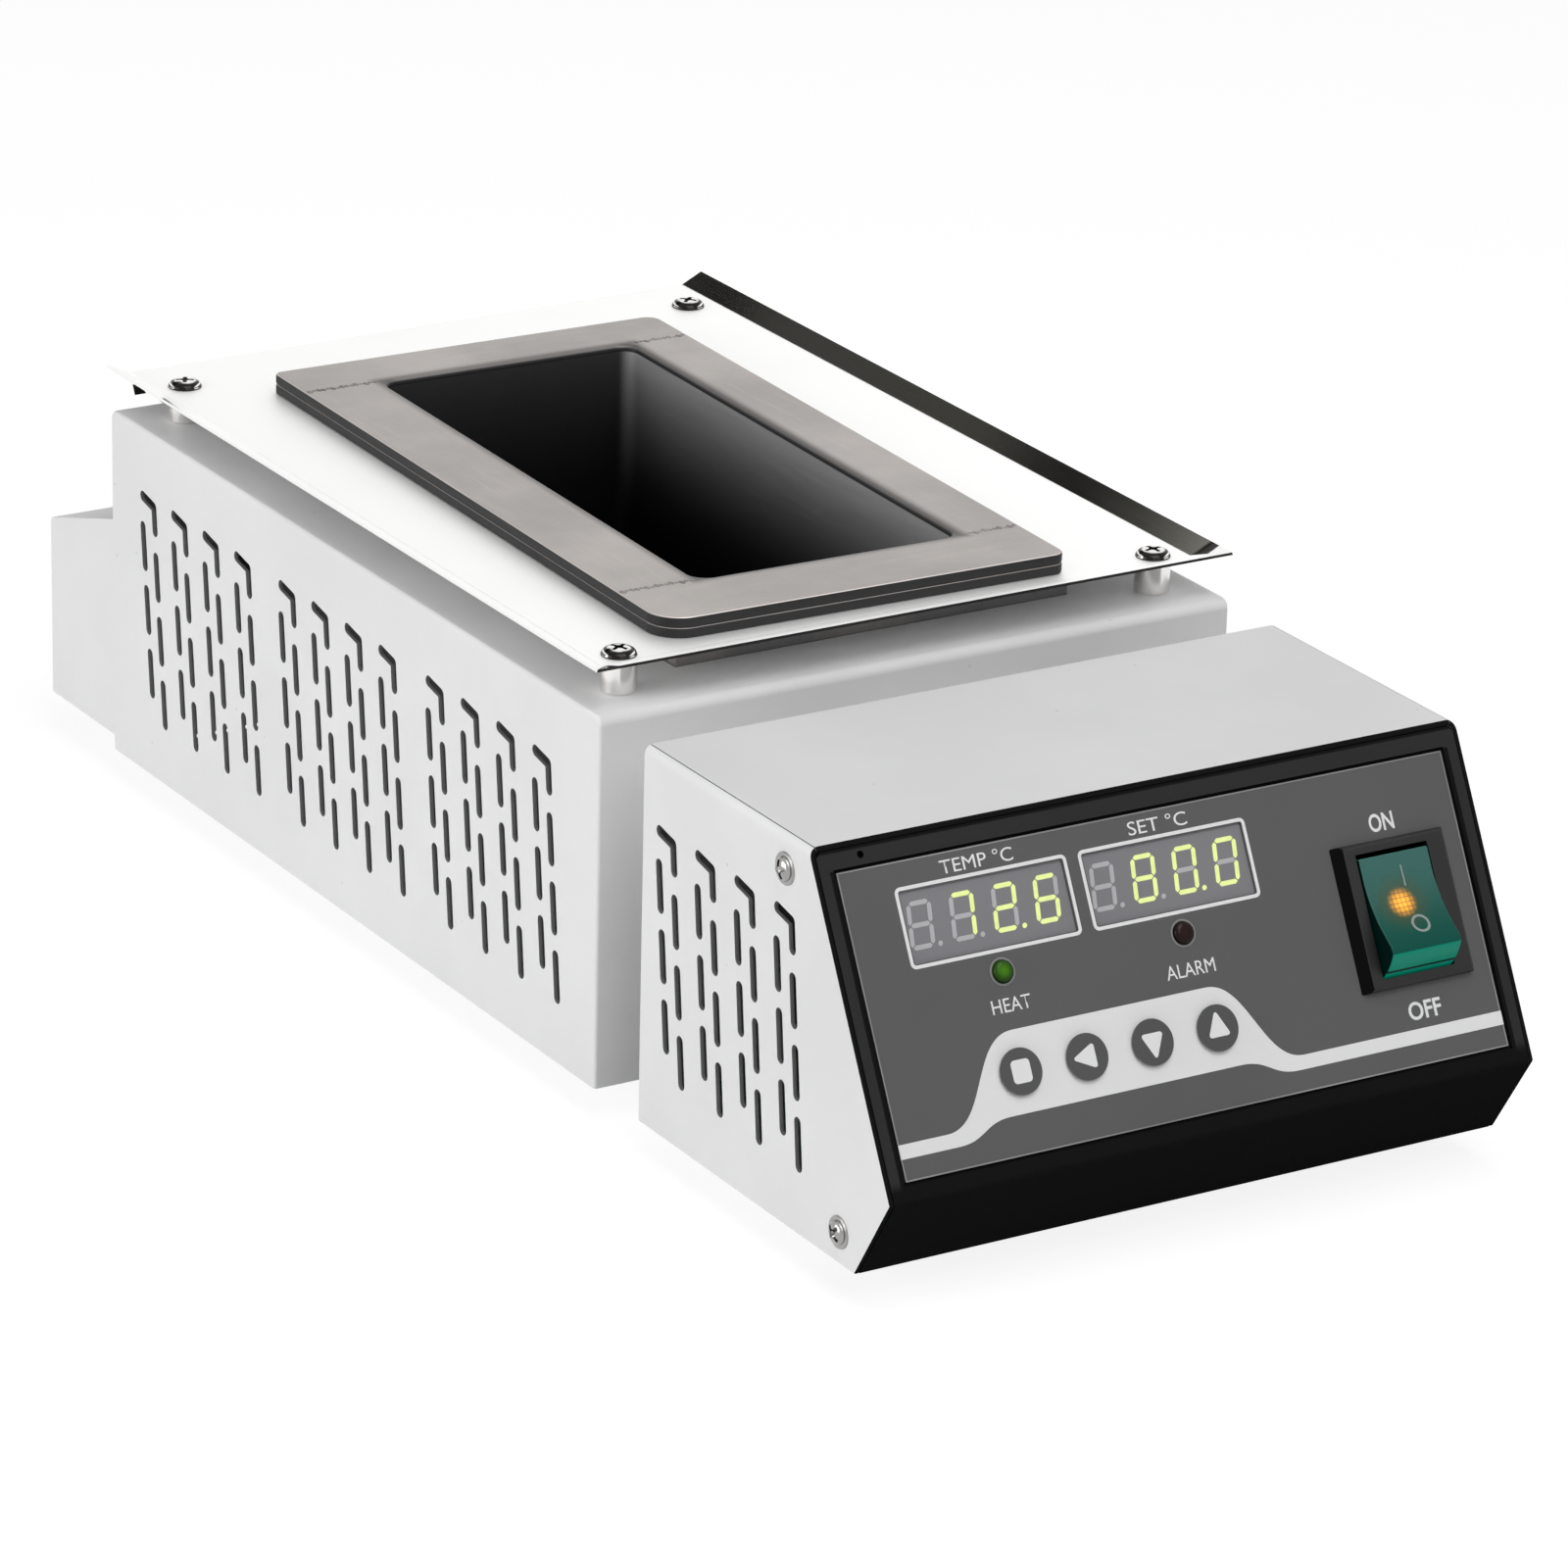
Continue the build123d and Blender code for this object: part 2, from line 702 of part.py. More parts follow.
def front_frame():
    """Black front of the control box: panel, nose and side ears, with pocket and cut-outs."""
    top_z = control_top_z - sheet - seam_gap
    top_y = panel_top_y - (sheet + seam_gap) * tan(panel_tilt)
    body = side_prism(
        [
            (top_y, top_z),
            (nose_y, nose_z),
            (panel_foot_y, floor_z),
            (panel_foot_y + frame_return, floor_z),
            (top_y + frame_return, top_z),
        ],
        2 * frame_half_width,
    )
    nose = body.edges().filter_by(Axis.X).sort_by(Axis.Y)[0]
    body = fillet(nose, frame_nose_radius)
    top_corners = body.faces().sort_by(Axis.Z)[-1].edges().filter_by(Axis.Y)
    body = chamfer(top_corners, bend_radius - sheet)
    rear = body.faces().filter_by(lambda face: face.normal_at().Y > sin(panel_tilt))
    frame = offset(body, -frame_wall, openings=rear)
    pocket = Box(overlay_width + 2 * pocket_gap, overlay_height + 2 * pocket_gap, overrun, align=low)
    frame -= on_panel(0, overlay_drop + overlay_height / 2, -pocket_depth) * pocket
    return frame - frame_openings() - shared_openings() - side_screw_holes()


def frame_openings():
    """One opening in the frame for each display and the lamp under it."""
    top = display_drop - display_height / 2 - fit_gap
    opening = Box(display_width + 2 * fit_gap, lamp_window_drop - top, 2 * overrun)
    return Compound([on_panel(x, (top + lamp_window_drop) / 2) * opening for x in display_xs])


def shared_openings():
    """Openings for the key stems and the switch, through the frame and the overlay alike."""
    stem_hole = key_hole(2 * overrun)
    openings = [on_panel(x, key_drop) * stem_hole for x in key_xs]
    switch_hole = Box(switch_body_width + 2 * seam_gap, switch_body_height + 2 * seam_gap, 2 * overrun)
    return Compound(openings + [on_panel(switch_x, switch_drop) * switch_hole])


def key_hole(depth):
    """Square hole that a key's stem slides in."""
    return Box(key_stem + 2 * fit_gap, key_stem + 2 * fit_gap, depth)


def panel_overlay():
    """Printed film in the frame's pocket, with windows for displays, lamps, keys and switch."""
    film = Box(overlay_width, overlay_height, overlay_thickness, align=low)
    film = on_panel(0, overlay_drop + overlay_height / 2, -pocket_depth) * film
    window = Box(display_width - 2 * window_margin, display_height - 2 * window_margin, 2 * overrun)
    lamp_hole = Cylinder(lamp_diameter / 2 + seam_gap, 2 * overrun)
    for x in display_xs:
        film -= on_panel(x, display_drop) * window
        film -= on_panel(x, lamp_drop) * lamp_hole
    return film - shared_openings()


def s_curve(start, end):
    """Smooth step from one level to another, flat at both ends."""
    middle = (start[0] + end[0]) / 2
    return Bezier(start, (middle, start[1]), (middle, end[1]), end)


def overlay_band():
    """Raised pale band: a stripe that swells into a field round the keys."""
    edge = overlay_width / 2
    upper = [
        (-edge, -stripe_top),
        (key_row_x - band_half_foot, -stripe_top),
        (key_row_x - band_half_top, -band_top),
        (key_row_x + band_half_top, -band_top),
        (key_row_x + band_half_foot, -stripe_top),
        (edge, -stripe_top),
    ]
    lower = [
        (edge, -stripe_bottom),
        (key_row_x + band_floor_half_foot, -stripe_bottom),
        (key_row_x + band_floor_half, -band_floor),
        (key_row_x - band_floor_half, -band_floor),
        (key_row_x - band_floor_half_foot, -stripe_bottom),
        (-edge, -stripe_bottom),
    ]
    outline = Curve()
    for points in (upper, lower):
        outline += [
            Line(points[0], points[1]),
            s_curve(points[1], points[2]),
            Line(points[2], points[3]),
            s_curve(points[3], points[4]),
            Line(points[4], points[5]),
        ]
    outline += [Line(upper[-1], lower[0]), Line(lower[-1], upper[0])]
    band = on_panel(0, 0, overlay_face) * extrude(make_face(outline), amount=band_thickness)
    for x in key_xs:
        band -= on_panel(x, key_drop) * key_hole(overrun)
    return band


def key(x):
    """Round key: a thin cap over the band on a square stem that ends in its contact block."""
    stem_bottom = board_face + tact_height - tact_depth + key_travel + seam_gap
    cap_bottom = band_face + key_travel + seam_gap
    stem = Box(key_stem, key_stem, cap_bottom - stem_bottom, align=low)
    cap = Cylinder(key_diameter / 2, key_cap, align=low)
    return on_panel(x, key_drop, stem_bottom) * stem + on_panel(x, key_drop, cap_bottom) * cap


def key_contacts():
    """Contact blocks on the display board, one under each key."""
    block = Box(tact_size, tact_size, tact_height, align=low)
    socket = Box(key_stem + 2 * seam_gap, key_stem + 2 * seam_gap, tact_depth * 2, align=high)
    block -= Pos(0, 0, tact_height + tact_depth) * socket
    return Compound([on_panel(x, key_drop, board_face) * block for x in key_xs])


def display_module(x):
    """Four-digit display block between the display board and the overlay."""
    height = -pocket_depth - board_face
    return on_panel(x, display_drop, board_face) * Box(display_width, display_height, height, align=low)


def lamp(x):
    """Round indicator lamp on its seat, standing out through the overlay."""
    bottom = board_face + lamp_spacer / 2
    height = overlay_face + lamp_rise - bottom
    return on_panel(x, lamp_drop, bottom) * Cylinder(lamp_diameter / 2, height, align=low)


def lamp_seats():
    """Blocks that hold the lamps off the display board."""
    block = Box(lamp_seat, lamp_seat, lamp_spacer / 2, align=low)
    return Compound([on_panel(x, lamp_drop, board_face) * block for x in display_xs])


def display_board():
    """Circuit board behind the panel."""
    plate = Box(board_width, board_height, board_thickness, align=high)
    return on_panel(board_x, board_drop, board_face) * plate


def board_spacers():
    """Hexagonal spacers between the front frame and the display board."""
    height = -frame_wall - board_face
    spacer = prism(6, spacer_flats, height)
    places = []
    for side in (-1, 1):
        for end in (-1, 1):
            x = board_x + side * (board_width / 2 - spacer_inset)
            drop = board_drop + end * (board_height / 2 - spacer_inset)
            places.append(on_panel(x, drop, board_face) * spacer)
    return Compound(places)


def switch_body():
    """Rocker switch housing with its bezel on the panel and bores for the rocker's trunnions."""
    bezel = Box(bezel_width, bezel_height, bezel_rise, align=low)
    bezel = chamfer(bezel.faces().sort_by(Axis.Z)[-1].edges(), bezel_bevel)
    body = Box(switch_body_width, switch_body_height, switch_body_depth, align=high)
    pivot = rocker_pivot_z - overlay_face
    cavity_width = rocker_width + 2 * fit_gap
    swing = Cylinder(rocker_radius + fit_gap, cavity_width)
    bore = Cylinder(trunnion_diameter / 2 + slide_gap, cavity_width + 2 * trunnion_length)
    body = bezel + body - Pos(0, 0, pivot) * Rot(0, 90, 0) * (swing + bore)
    return on_panel(switch_x, switch_drop, overlay_face) * body


def switch_blades():
    """Flat terminals at the back of the switch."""
    blade = Box(blade_width, blade_thickness, blade_length, align=high)
    back = overlay_face - switch_body_depth
    blades = []
    for row in range(blade_rows):
        for column in range(blade_columns):
            x = switch_x + (column - (blade_columns - 1) / 2) * blade_column_pitch
            drop = switch_drop + (row - (blade_rows - 1) / 2) * blade_row_pitch
            blades.append(on_panel(x, drop, back) * blade)
    return Compound(blades)


def rocker():
    """Rocker with a shallow V face, shown pressed in at its upper end, on two trunnions."""
    rest_turn = rocker_throw / 2
    face = rocker_pivot_depth + rocker_face_rise
    crease = face / cos(radians(rest_turn))
    reach = rocker_radius * 2
    rise = crease + reach * tan(radians(rest_turn))
    outline = Polyline(
        (-reach, -rocker_skirt),
        (reach, -rocker_skirt),
        (reach, rise),
        (0, crease),
        (-reach, rise),
        close=True,
    )
    profile = make_face(outline) & Circle(rocker_radius)
    wedge = extrude(Plane.YZ * profile, amount=rocker_width / 2, both=True)
    pins = Rot(0, 90, 0) * Cylinder(trunnion_diameter / 2, rocker_width + 2 * trunnion_length)
    return on_panel(switch_x, switch_drop, rocker_pivot_z) * Rot(-rest_turn, 0, 0) * (wedge + pins)


def power_board():
    """Circuit board on the floor of the control box."""
    width, depth = power_board_size
    plate = Box(width, depth, board_thickness, align=low)
    return power_place(0, power_board_lift) * plate


def power_place(x, z):
    """Place over the power board, from its middle and the floor sheet."""
    y = control_rear_y - sheet - power_board_setback - power_board_size[1] / 2
    return Pos(power_board_x + x, y, floor_z + sheet + z)


def power_spacers():
    """Hexagonal spacers under the power board."""
    width, depth = power_board_size
    spacer = prism(6, spacer_flats, power_board_lift)
    places = []
    for side in (-1, 1):
        for end in (-1, 1):
            corner = Pos(side * (width / 2 - spacer_inset), end * (depth / 2 - spacer_inset), 0)
            places.append(power_place(0, 0) * corner * spacer)
    return Compound(places)


def transformer():
    """Small transformer: laminated core with its coil through it."""
    top = power_board_lift + board_thickness
    core = Box(*core_size, align=low)
    coil_lift = (core_size[2] - coil_size[2]) / 2
    coil = Pos(0, 0, coil_lift) * Box(*coil_size, align=low)
    return power_place(coil_x, top) * (core + coil)


def relay():
    """Relay block on the power board."""
    return power_place(relay_x, power_board_lift + board_thickness) * Box(*relay_size, align=low)


def heatsink():
    """Finned heat sink for the power switch, standing on the floor of the control box."""
    width, depth, height = heatsink_size
    sink = Box(width, depth, heatsink_foot, align=low)
    for i in range(heatsink_fins):
        x = (i / (heatsink_fins - 1) - 1 / 2) * (width - heatsink_fin)
        sink += Pos(x, 0, 0) * Box(heatsink_fin, depth, height, align=low)
    y = control_rear_y - sheet - power_board_setback - depth / 2
    return Pos(heatsink_x, y, floor_z + sheet) * sink


def side_screws():
    """Four pan-head screws through the sides of the control box into the front frame."""
    piece = screw(side_screw_head, side_screw_length)
    screws = []
    for y, z in screw_points():
        for side in (-1, 1):
            screws.append(Pos(side * half_width, y, z) * Rot(0, side * 90, 0) * piece)
    return Compound(screws)


def feet():
    """Four round rubber feet: two under the control box and two under the furnace."""
    x = half_width - foot_inset
    front = (panel_foot_y + front_foot_setback, floor_z)
    rear = (furnace_rear_y - rear_foot_setback, floor_z - sheet)
    shapes = []
    for y, top in (front, rear):
        foot = Cylinder(foot_diameter / 2, top, align=low)
        shapes += [Pos(side * x, y, 0) * foot for side in (-1, 1)]
    return Compound(shapes)


nodes = {
    "furnace_shell": furnace_shell(),
    "furnace_base": furnace_base(),
    "terminal_box": terminal_box(),
    "cable_gland": cable_gland(),
    "drip_tray": drip_tray(),
    "tray_pillars": tray_pillars(),
    "tray_screws": tray_screws(),
    "solder_pot": solder_pot(),
    "pot_frame": pot_frame(),
    "inner_liner": inner_liner(),
    "liner_feet": liner_feet(),
    "insulation": insulation(),
    "heater": heater(),
    "heater_bars": heater_bars(),
    "temperature_probe": temperature_probe(),
    "terminal_block": terminal_block(),
    "control_housing": control_housing(),
    "control_base": control_base(),
    "wiring_duct": wiring_duct(),
    "front_frame": front_frame(),
    "panel_overlay": panel_overlay(),
    "overlay_band": overlay_band(),
    "key_set": key(key_xs[0]),
    "key_left": key(key_xs[1]),
    "key_down": key(key_xs[2]),
    "key_up": key(key_xs[3]),
    "key_contacts": key_contacts(),
    "display_actual": display_module(display_xs[0]),
    "display_set": display_module(display_xs[1]),
    "lamp_heating": lamp(display_xs[0]),
    "lamp_alarm": lamp(display_xs[1]),
    "lamp_seats": lamp_seats(),
    "display_board": display_board(),
    "board_spacers": board_spacers(),
    "switch_body": switch_body(),
    "switch_blades": switch_blades(),
    "rocker": rocker(),
    "power_board": power_board(),
    "power_spacers": power_spacers(),
    "transformer": transformer(),
    "relay": relay(),
    "heatsink": heatsink(),
    "side_screws": side_screws(),
    "feet": feet(),
}

os.makedirs("parts", exist_ok=True)
for name, shape in nodes.items():
    export_step(shape, f"parts/{name}.step")
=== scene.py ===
"""Dressed scene of a benchtop solder pot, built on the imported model's frame.

X runs across the control panel, Y from the panel to the rear and Z up, with the feet on Z = 0. Sizes in the
classes are millimetres. A piece is modelled in millimetres and scaled to metres when it is delivered.
"""

import logging
from collections.abc import Callable, Iterator, Sequence
from contextlib import contextmanager
from dataclasses import dataclass
from enum import Enum
from math import atan2, cos, hypot, pi, radians, sin, tan

import bmesh
import bpy
from mathutils import Matrix, Vector

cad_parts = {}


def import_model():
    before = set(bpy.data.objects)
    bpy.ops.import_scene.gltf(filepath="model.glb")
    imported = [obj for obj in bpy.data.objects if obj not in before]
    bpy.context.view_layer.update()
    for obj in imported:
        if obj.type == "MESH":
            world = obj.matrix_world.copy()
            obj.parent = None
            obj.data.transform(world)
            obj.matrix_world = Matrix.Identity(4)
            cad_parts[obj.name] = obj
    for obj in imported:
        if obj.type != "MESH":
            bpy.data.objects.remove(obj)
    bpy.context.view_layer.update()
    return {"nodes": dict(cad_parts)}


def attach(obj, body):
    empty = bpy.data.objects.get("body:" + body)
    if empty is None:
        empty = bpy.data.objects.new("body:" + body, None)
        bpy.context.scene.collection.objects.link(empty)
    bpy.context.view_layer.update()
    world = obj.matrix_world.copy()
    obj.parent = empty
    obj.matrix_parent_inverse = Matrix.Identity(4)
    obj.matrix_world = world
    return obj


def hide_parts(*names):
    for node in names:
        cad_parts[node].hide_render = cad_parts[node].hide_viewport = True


LOG = logging.getLogger("solder_pot")
MM = 0.001
CASE = "case"
ALONG = 0.9  # least part of a direction that counts as along an axis
SQUARE = 0.99  # the same where a slightly turned face or edge doesn't count
NEAR = 0.05  # distance within which a place counts as met, in millimetres
SKIN = 0.1  # the same for a face of a box, in millimetres
TOUCH = 0.01  # the same for the vertices of one flat end, in millimetres
SEGMENTS = {" ": "", "0": "abcdef", "2": "abdeg", "6": "acdefg", "7": "abc", "8": "abcdefg"}

Point = tuple[float, float, float]
Colour = tuple[float, float, float]
Where = Callable[[Vector, Vector], bool]


class Axis(Enum):
    """Direction of a rod's length, as the turn that lays it there."""

    X = (0.0, pi / 2, 0.0)
    Z = (0.0, 0.0, 0.0)


class Part(Enum):
    """What a selection is made of."""

    FACE = "FACE"
    EDGE = "EDGE"
    VERT = "VERT"


class Workpiece:
    """A mesh being modelled in millimetres with Blender's own operators."""

    def __init__(self, obj: bpy.types.Object) -> None:
        """Takes over an object."""
        self.obj = obj

    @classmethod
    def primitive(
        cls, add: Callable[..., object], stretch: Point = (1, 1, 1), **settings: object
    ) -> "Workpiece":
        """One of Blender's primitives.

        Args:
            add: The operator that adds it.
            stretch: How much it is stretched along the axes.
            settings: The operator's own settings.

        Returns:
            The new piece.
        """
        clear_selection()
        add(**settings)
        bpy.context.object.scale = stretch
        return cls(bpy.context.object).settle()

    @classmethod
    def block(cls, size: Point, centre: Point = (0, 0, 0), turn: Point = (0, 0, 0)) -> "Workpiece":
        """A box.

        Args:
            size: Its three sides.
            centre: Its middle.
            turn: Its rotation about X, Y and Z, in radians.

        Returns:
            The new piece.
        """
        settings = {"size": 1, "location": centre, "rotation": turn}
        return cls.primitive(bpy.ops.mesh.primitive_cube_add, size, **settings)

    @classmethod
    def rod(
        cls, radius: float, length: float, centre: Point = (0, 0, 0), axis: Axis = Axis.Z, sides: int = 48
    ) -> "Workpiece":
        """A cylinder.

        Args:
            radius: Its radius.
            length: Its length along the axis.
            centre: Its middle.
            axis: The direction of its length.
            sides: The number of its facets.

        Returns:
            The new piece.
        """
        settings = {"vertices": sides, "radius": radius, "depth": length, "location": centre}
        return cls.primitive(bpy.ops.mesh.primitive_cylinder_add, rotation=axis.value, **settings)

    @classmethod
    def disc(cls, radius: float, centre: Point = (0, 0, 0), sides: int = 48) -> "Workpiece":
        """A flat filled circle, or a regular polygon when it has few sides."""
        settings = {"vertices": sides, "radius": radius, "fill_type": "NGON", "location": centre}
        return cls.primitive(bpy.ops.mesh.primitive_circle_add, **settings)

    @classmethod
    def plate(cls, size: tuple[float, float], centre: Point = (0, 0, 0)) -> "Workpiece":
        """A flat rectangle of no thickness."""
        return cls.primitive(bpy.ops.mesh.primitive_plane_add, (*size, 1), size=1, location=centre)

    @classmethod
    def ball(cls, radii: Point, centre: Point = (0, 0, 0), level: int = 2) -> "Workpiece":
        """A small sphere squashed to three radii."""
        settings = {"subdivisions": level, "radius": 1, "location": centre}
        return cls.primitive(bpy.ops.mesh.primitive_ico_sphere_add, radii, **settings)

    @classmethod
    def words(
        cls, text: str, width: float, height: float, centre: Point, weight: float = 0.0
    ) -> "Workpiece":
        """Flat lettering fitted to a rectangle.

        Args:
            text: What it says.
            width: Width from edge to edge.
            height: Height from edge to edge.
            centre: The middle of the rectangle.
            weight: How much the strokes are thickened, as a share of the letter size.

        Returns:
            The new piece, a flat mesh.
        """
        clear_selection()
        bpy.ops.object.text_add()
        obj = bpy.context.object
        obj.data.body = text
        obj.data.offset = weight
        obj.data.resolution_u = 4
        bpy.ops.object.convert(target="MESH")
        corners = [Vector(corner) for corner in obj.bound_box]
        low, high = corners[0], corners[6]
        middle = (low + high) / 2
        stretch = Matrix.Diagonal((width / (high.x - low.x), height / (high.y - low.y), 1, 1))
        piece = cls(obj).place(Matrix.Translation(centre) @ stretch @ Matrix.Translation(-middle))
        return piece.weld(0.001)

    @classmethod
    def from_node(cls, node: bpy.types.Object) -> "Workpiece":
        """A merged copy of a CAD node, its flat faces made whole again, in millimetres."""
        clear_selection()
        obj = bpy.data.objects.new("copy", node.data.copy())
        bpy.context.collection.objects.link(obj)
        obj.data.materials.clear()
        piece = cls(obj).place(Matrix.Scale(1 / MM, 4)).weld(0.002)
        with piece.editing(Part.FACE):
            bpy.ops.mesh.select_all(action="SELECT")
            bpy.ops.mesh.dissolve_limited(angle_limit=radians(0.5))
        return piece

    def take(self) -> "Workpiece":
        """Selects this piece alone and makes it active."""
        clear_selection()
        self.obj.select_set(True)
        bpy.context.view_layer.objects.active = self.obj
        return self

    def settle(self) -> "Workpiece":
        """Puts the object's place, turn and size into its mesh."""
        self.take()
        bpy.ops.object.transform_apply(location=True, rotation=True, scale=True)
        return self

    def place(self, matrix: Matrix) -> "Workpiece":
        """Moves the piece and puts the move into its mesh."""
        self.obj.matrix_world = matrix
        return self.settle()

    def copy(self, matrix: Matrix | None = None) -> "Workpiece":
        """A second piece with a mesh of its own, moved by a matrix."""
        self.take()
        bpy.ops.object.duplicate(linked=False)
        made = Workpiece(bpy.context.object)
        return made.place(matrix or Matrix.Identity(4))

    def join(self, *others: "Workpiece") -> "Workpiece":
        """Puts other pieces into this one's mesh without cutting them."""
        self.take()
        for other in others:
            other.obj.select_set(True)
        bpy.context.view_layer.objects.active = self.obj
        bpy.ops.object.join()
        return self

    @contextmanager
    def editing(self, part: Part) -> Iterator[None]:
        """Edit mode on this piece, with nothing selected."""
        self.take()
        bpy.ops.object.mode_set(mode="EDIT")
        bpy.ops.mesh.select_mode(type=part.value)
        bpy.ops.mesh.select_all(action="DESELECT")
        try:
            yield
        finally:
            bpy.ops.object.mode_set(mode="OBJECT")

    def pick(self, part: Part, where: Where) -> int:
        """Selects what a test accepts, in edit mode.

        Args:
            part: Faces, edges or vertices.
            where: Test of a part's middle and its direction, which is a face's normal or an edge's line.

        Returns:
            The number of parts selected.
        """
        mesh = bmesh.from_edit_mesh(self.obj.data)
        if part is Part.FACE:
            places = [(face, face.calc_center_median(), face.normal) for face in mesh.faces]
        elif part is Part.EDGE:
            ends = [(edge, *(vertex.co for vertex in edge.verts)) for edge in mesh.edges]
            places = [(edge, (start + end) / 2, (end - start).normalized()) for edge, start, end in ends]
        else:
            places = [(vertex, vertex.co, vertex.normal) for vertex in mesh.verts]
        chosen = [item for item, at, direction in places if where(at, direction)]
        for item in chosen:
            item.select_set(True)
        bmesh.update_edit_mesh(self.obj.data)
        return len(chosen)

    def weld(self, distance: float) -> "Workpiece":
        """Merges vertices that lie together."""
        with self.editing(Part.VERT):
            bpy.ops.mesh.select_all(action="SELECT")
            bpy.ops.mesh.remove_doubles(threshold=distance)
        return self

    def round_edges(self, where: Where, radius: float, segments: int = 4) -> "Workpiece":
        """Rounds the edges that a test accepts."""
        with self.editing(Part.EDGE):
            if self.pick(Part.EDGE, where):
                bpy.ops.mesh.bevel(offset=radius, segments=segments, affect="EDGES", clamp_overlap=True)
        return self

    def soften(self, radius: float, segments: int = 2, sharpness: float = 30.0) -> "Workpiece":
        """Rounds every edge that turns by more than an angle in degrees."""
        with self.editing(Part.EDGE):
            bpy.ops.mesh.edges_select_sharp(sharpness=radians(sharpness))
            bpy.ops.mesh.bevel(offset=radius, segments=segments, affect="EDGES", clamp_overlap=True)
        return self

    def round_corners(self, radius: float, segments: int = 5) -> "Workpiece":
        """Rounds the corners of a flat outline."""
        with self.editing(Part.VERT):
            bpy.ops.mesh.select_all(action="SELECT")
            bpy.ops.mesh.bevel(offset=radius, segments=segments, affect="VERTICES")
        return self

    def hollow(self, width: float) -> "Workpiece":
        """Turns a flat outline into a flat ring of a given width."""
        with self.editing(Part.FACE):
            bpy.ops.mesh.select_all(action="SELECT")
            bpy.ops.mesh.inset(thickness=width)
            bpy.ops.mesh.delete(type="FACE")
        return self

    def thicken(self, thickness: float) -> "Workpiece":
        """Raises a flat piece into a plate that starts at its own plane."""
        return self.modify("SOLIDIFY", thickness=thickness, offset=1.0, use_even_offset=True)

    def extrude_edges(self, where: Where, by: Point) -> "Workpiece":
        """Extrudes the edges that a test accepts and moves them."""
        with self.editing(Part.EDGE):
            self.pick(Part.EDGE, where)
            bpy.ops.mesh.extrude_edges_move(TRANSFORM_OT_translate={"value": by})
        return self

    def shift(self, part: Part, where: Where, by: Point) -> "Workpiece":
        """Moves what a test accepts."""
        with self.editing(part):
            self.pick(part, where)
            bpy.ops.transform.translate(value=by)
        return self

    def bisect(self, point: Point, normal: Point, trim: bool = True) -> "Workpiece":
        """Cuts the piece by a plane, and takes away what is in front of it when trim is set."""
        with self.editing(Part.FACE):
            bpy.ops.mesh.select_all(action="SELECT")
            bpy.ops.mesh.bisect(plane_co=point, plane_no=normal, use_fill=trim, clear_outer=trim)
        return self

    def modify(self, kind: str, **settings: object) -> "Workpiece":
        """Adds a modifier, gives it its settings and applies it."""
        self.take()
        modifier = self.obj.modifiers.new(kind.title(), kind)
        for name, value in settings.items():
            setattr(modifier, name, value)
        bpy.ops.object.modifier_apply(modifier=modifier.name)
        return self

    def carve(self, *cutters: "Workpiece") -> "Workpiece":
        """Cuts other pieces out of this one."""
        for cutter in cutters:
            self.modify("BOOLEAN", operation="DIFFERENCE", solver="EXACT", object=cutter.obj)
            cutter.discard()
        return self

    def unite(self, *others: "Workpiece") -> "Workpiece":
        """Fuses other pieces into this one."""
        for other in others:
            self.modify("BOOLEAN", operation="UNION", solver="EXACT", object=other.obj)
            other.discard()
        return self

    def discard(self) -> None:
        """Removes the piece."""
        mesh = self.obj.data
        bpy.data.objects.remove(self.obj)
        bpy.data.meshes.remove(mesh)

    def deliver(
        self,
        name: str,
        finish: "Finish",
        body: str = CASE,
        replaces: Sequence[str] = (),
        smooth: float = 35.0,
        flat_faces: bool = True,
        patches: Sequence[tuple["Finish", Where]] = (),
    ) -> bpy.types.Object:
        """Scales the piece to metres, dresses it and hands it to the frame.

        Args:
            name: The piece's name.
            finish: Its finish.
            body: The CAD body that it rides on.
            replaces: The CAD nodes that it stands for.
            smooth: Edges that turn by more than this many degrees stay sharp.
            flat_faces: Whether large faces keep their own normals next to rounded edges.
            patches: Other finishes on the piece, each with a test of the faces that it covers.

        Returns:
            The finished object.
        """
        self.obj.name = self.obj.data.name = name
        self.obj.data.materials.clear()
        self.obj.data.materials.append(finish.material())
        for index, (other, where) in enumerate(patches, 1):
            self.obj.data.materials.append(other.material())
            for face in self.obj.data.polygons:
                if where(face.center, face.normal):
                    face.material_index = index
        self.place(Matrix.Scale(MM, 4))
        bpy.ops.object.shade_smooth_by_angle(angle=radians(smooth))
        if flat_faces:
            self.modify("WEIGHTED_NORMAL", keep_sharp=True, weight=100)
        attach(self.obj, body)
        if replaces:
            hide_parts(*replaces)
        LOG.info("%s: %d faces on %s", name, len(self.obj.data.polygons), body)
        return self.obj


def clear_selection() -> None:
    """Leaves edit mode and deselects everything."""
    if bpy.context.object and bpy.context.object.mode != "OBJECT":
        bpy.ops.object.mode_set(mode="OBJECT")
    bpy.ops.object.select_all(action="DESELECT")


def turned(degrees: float, axis: str, at: Point = (0, 0, 0)) -> Matrix:
    """A turn about an axis through a point."""
    return Matrix.Translation(at) @ Matrix.Rotation(radians(degrees), 4, axis)


def arithmetic(operation: str, number_first: bool = False) -> Callable[["Wire", object], "Wire"]:
    """An operator of Wire that adds one Math node.

    Args:
        operation: The Math node's operation.
        number_first: Whether the wire is the second of the two values.

    Returns:
        The method.
    """

    def combine(wire: "Wire", other: object) -> "Wire":
        """Adds the node."""
        return wire.math(operation, other, wire) if number_first else wire.math(operation, wire, other)

    return combine


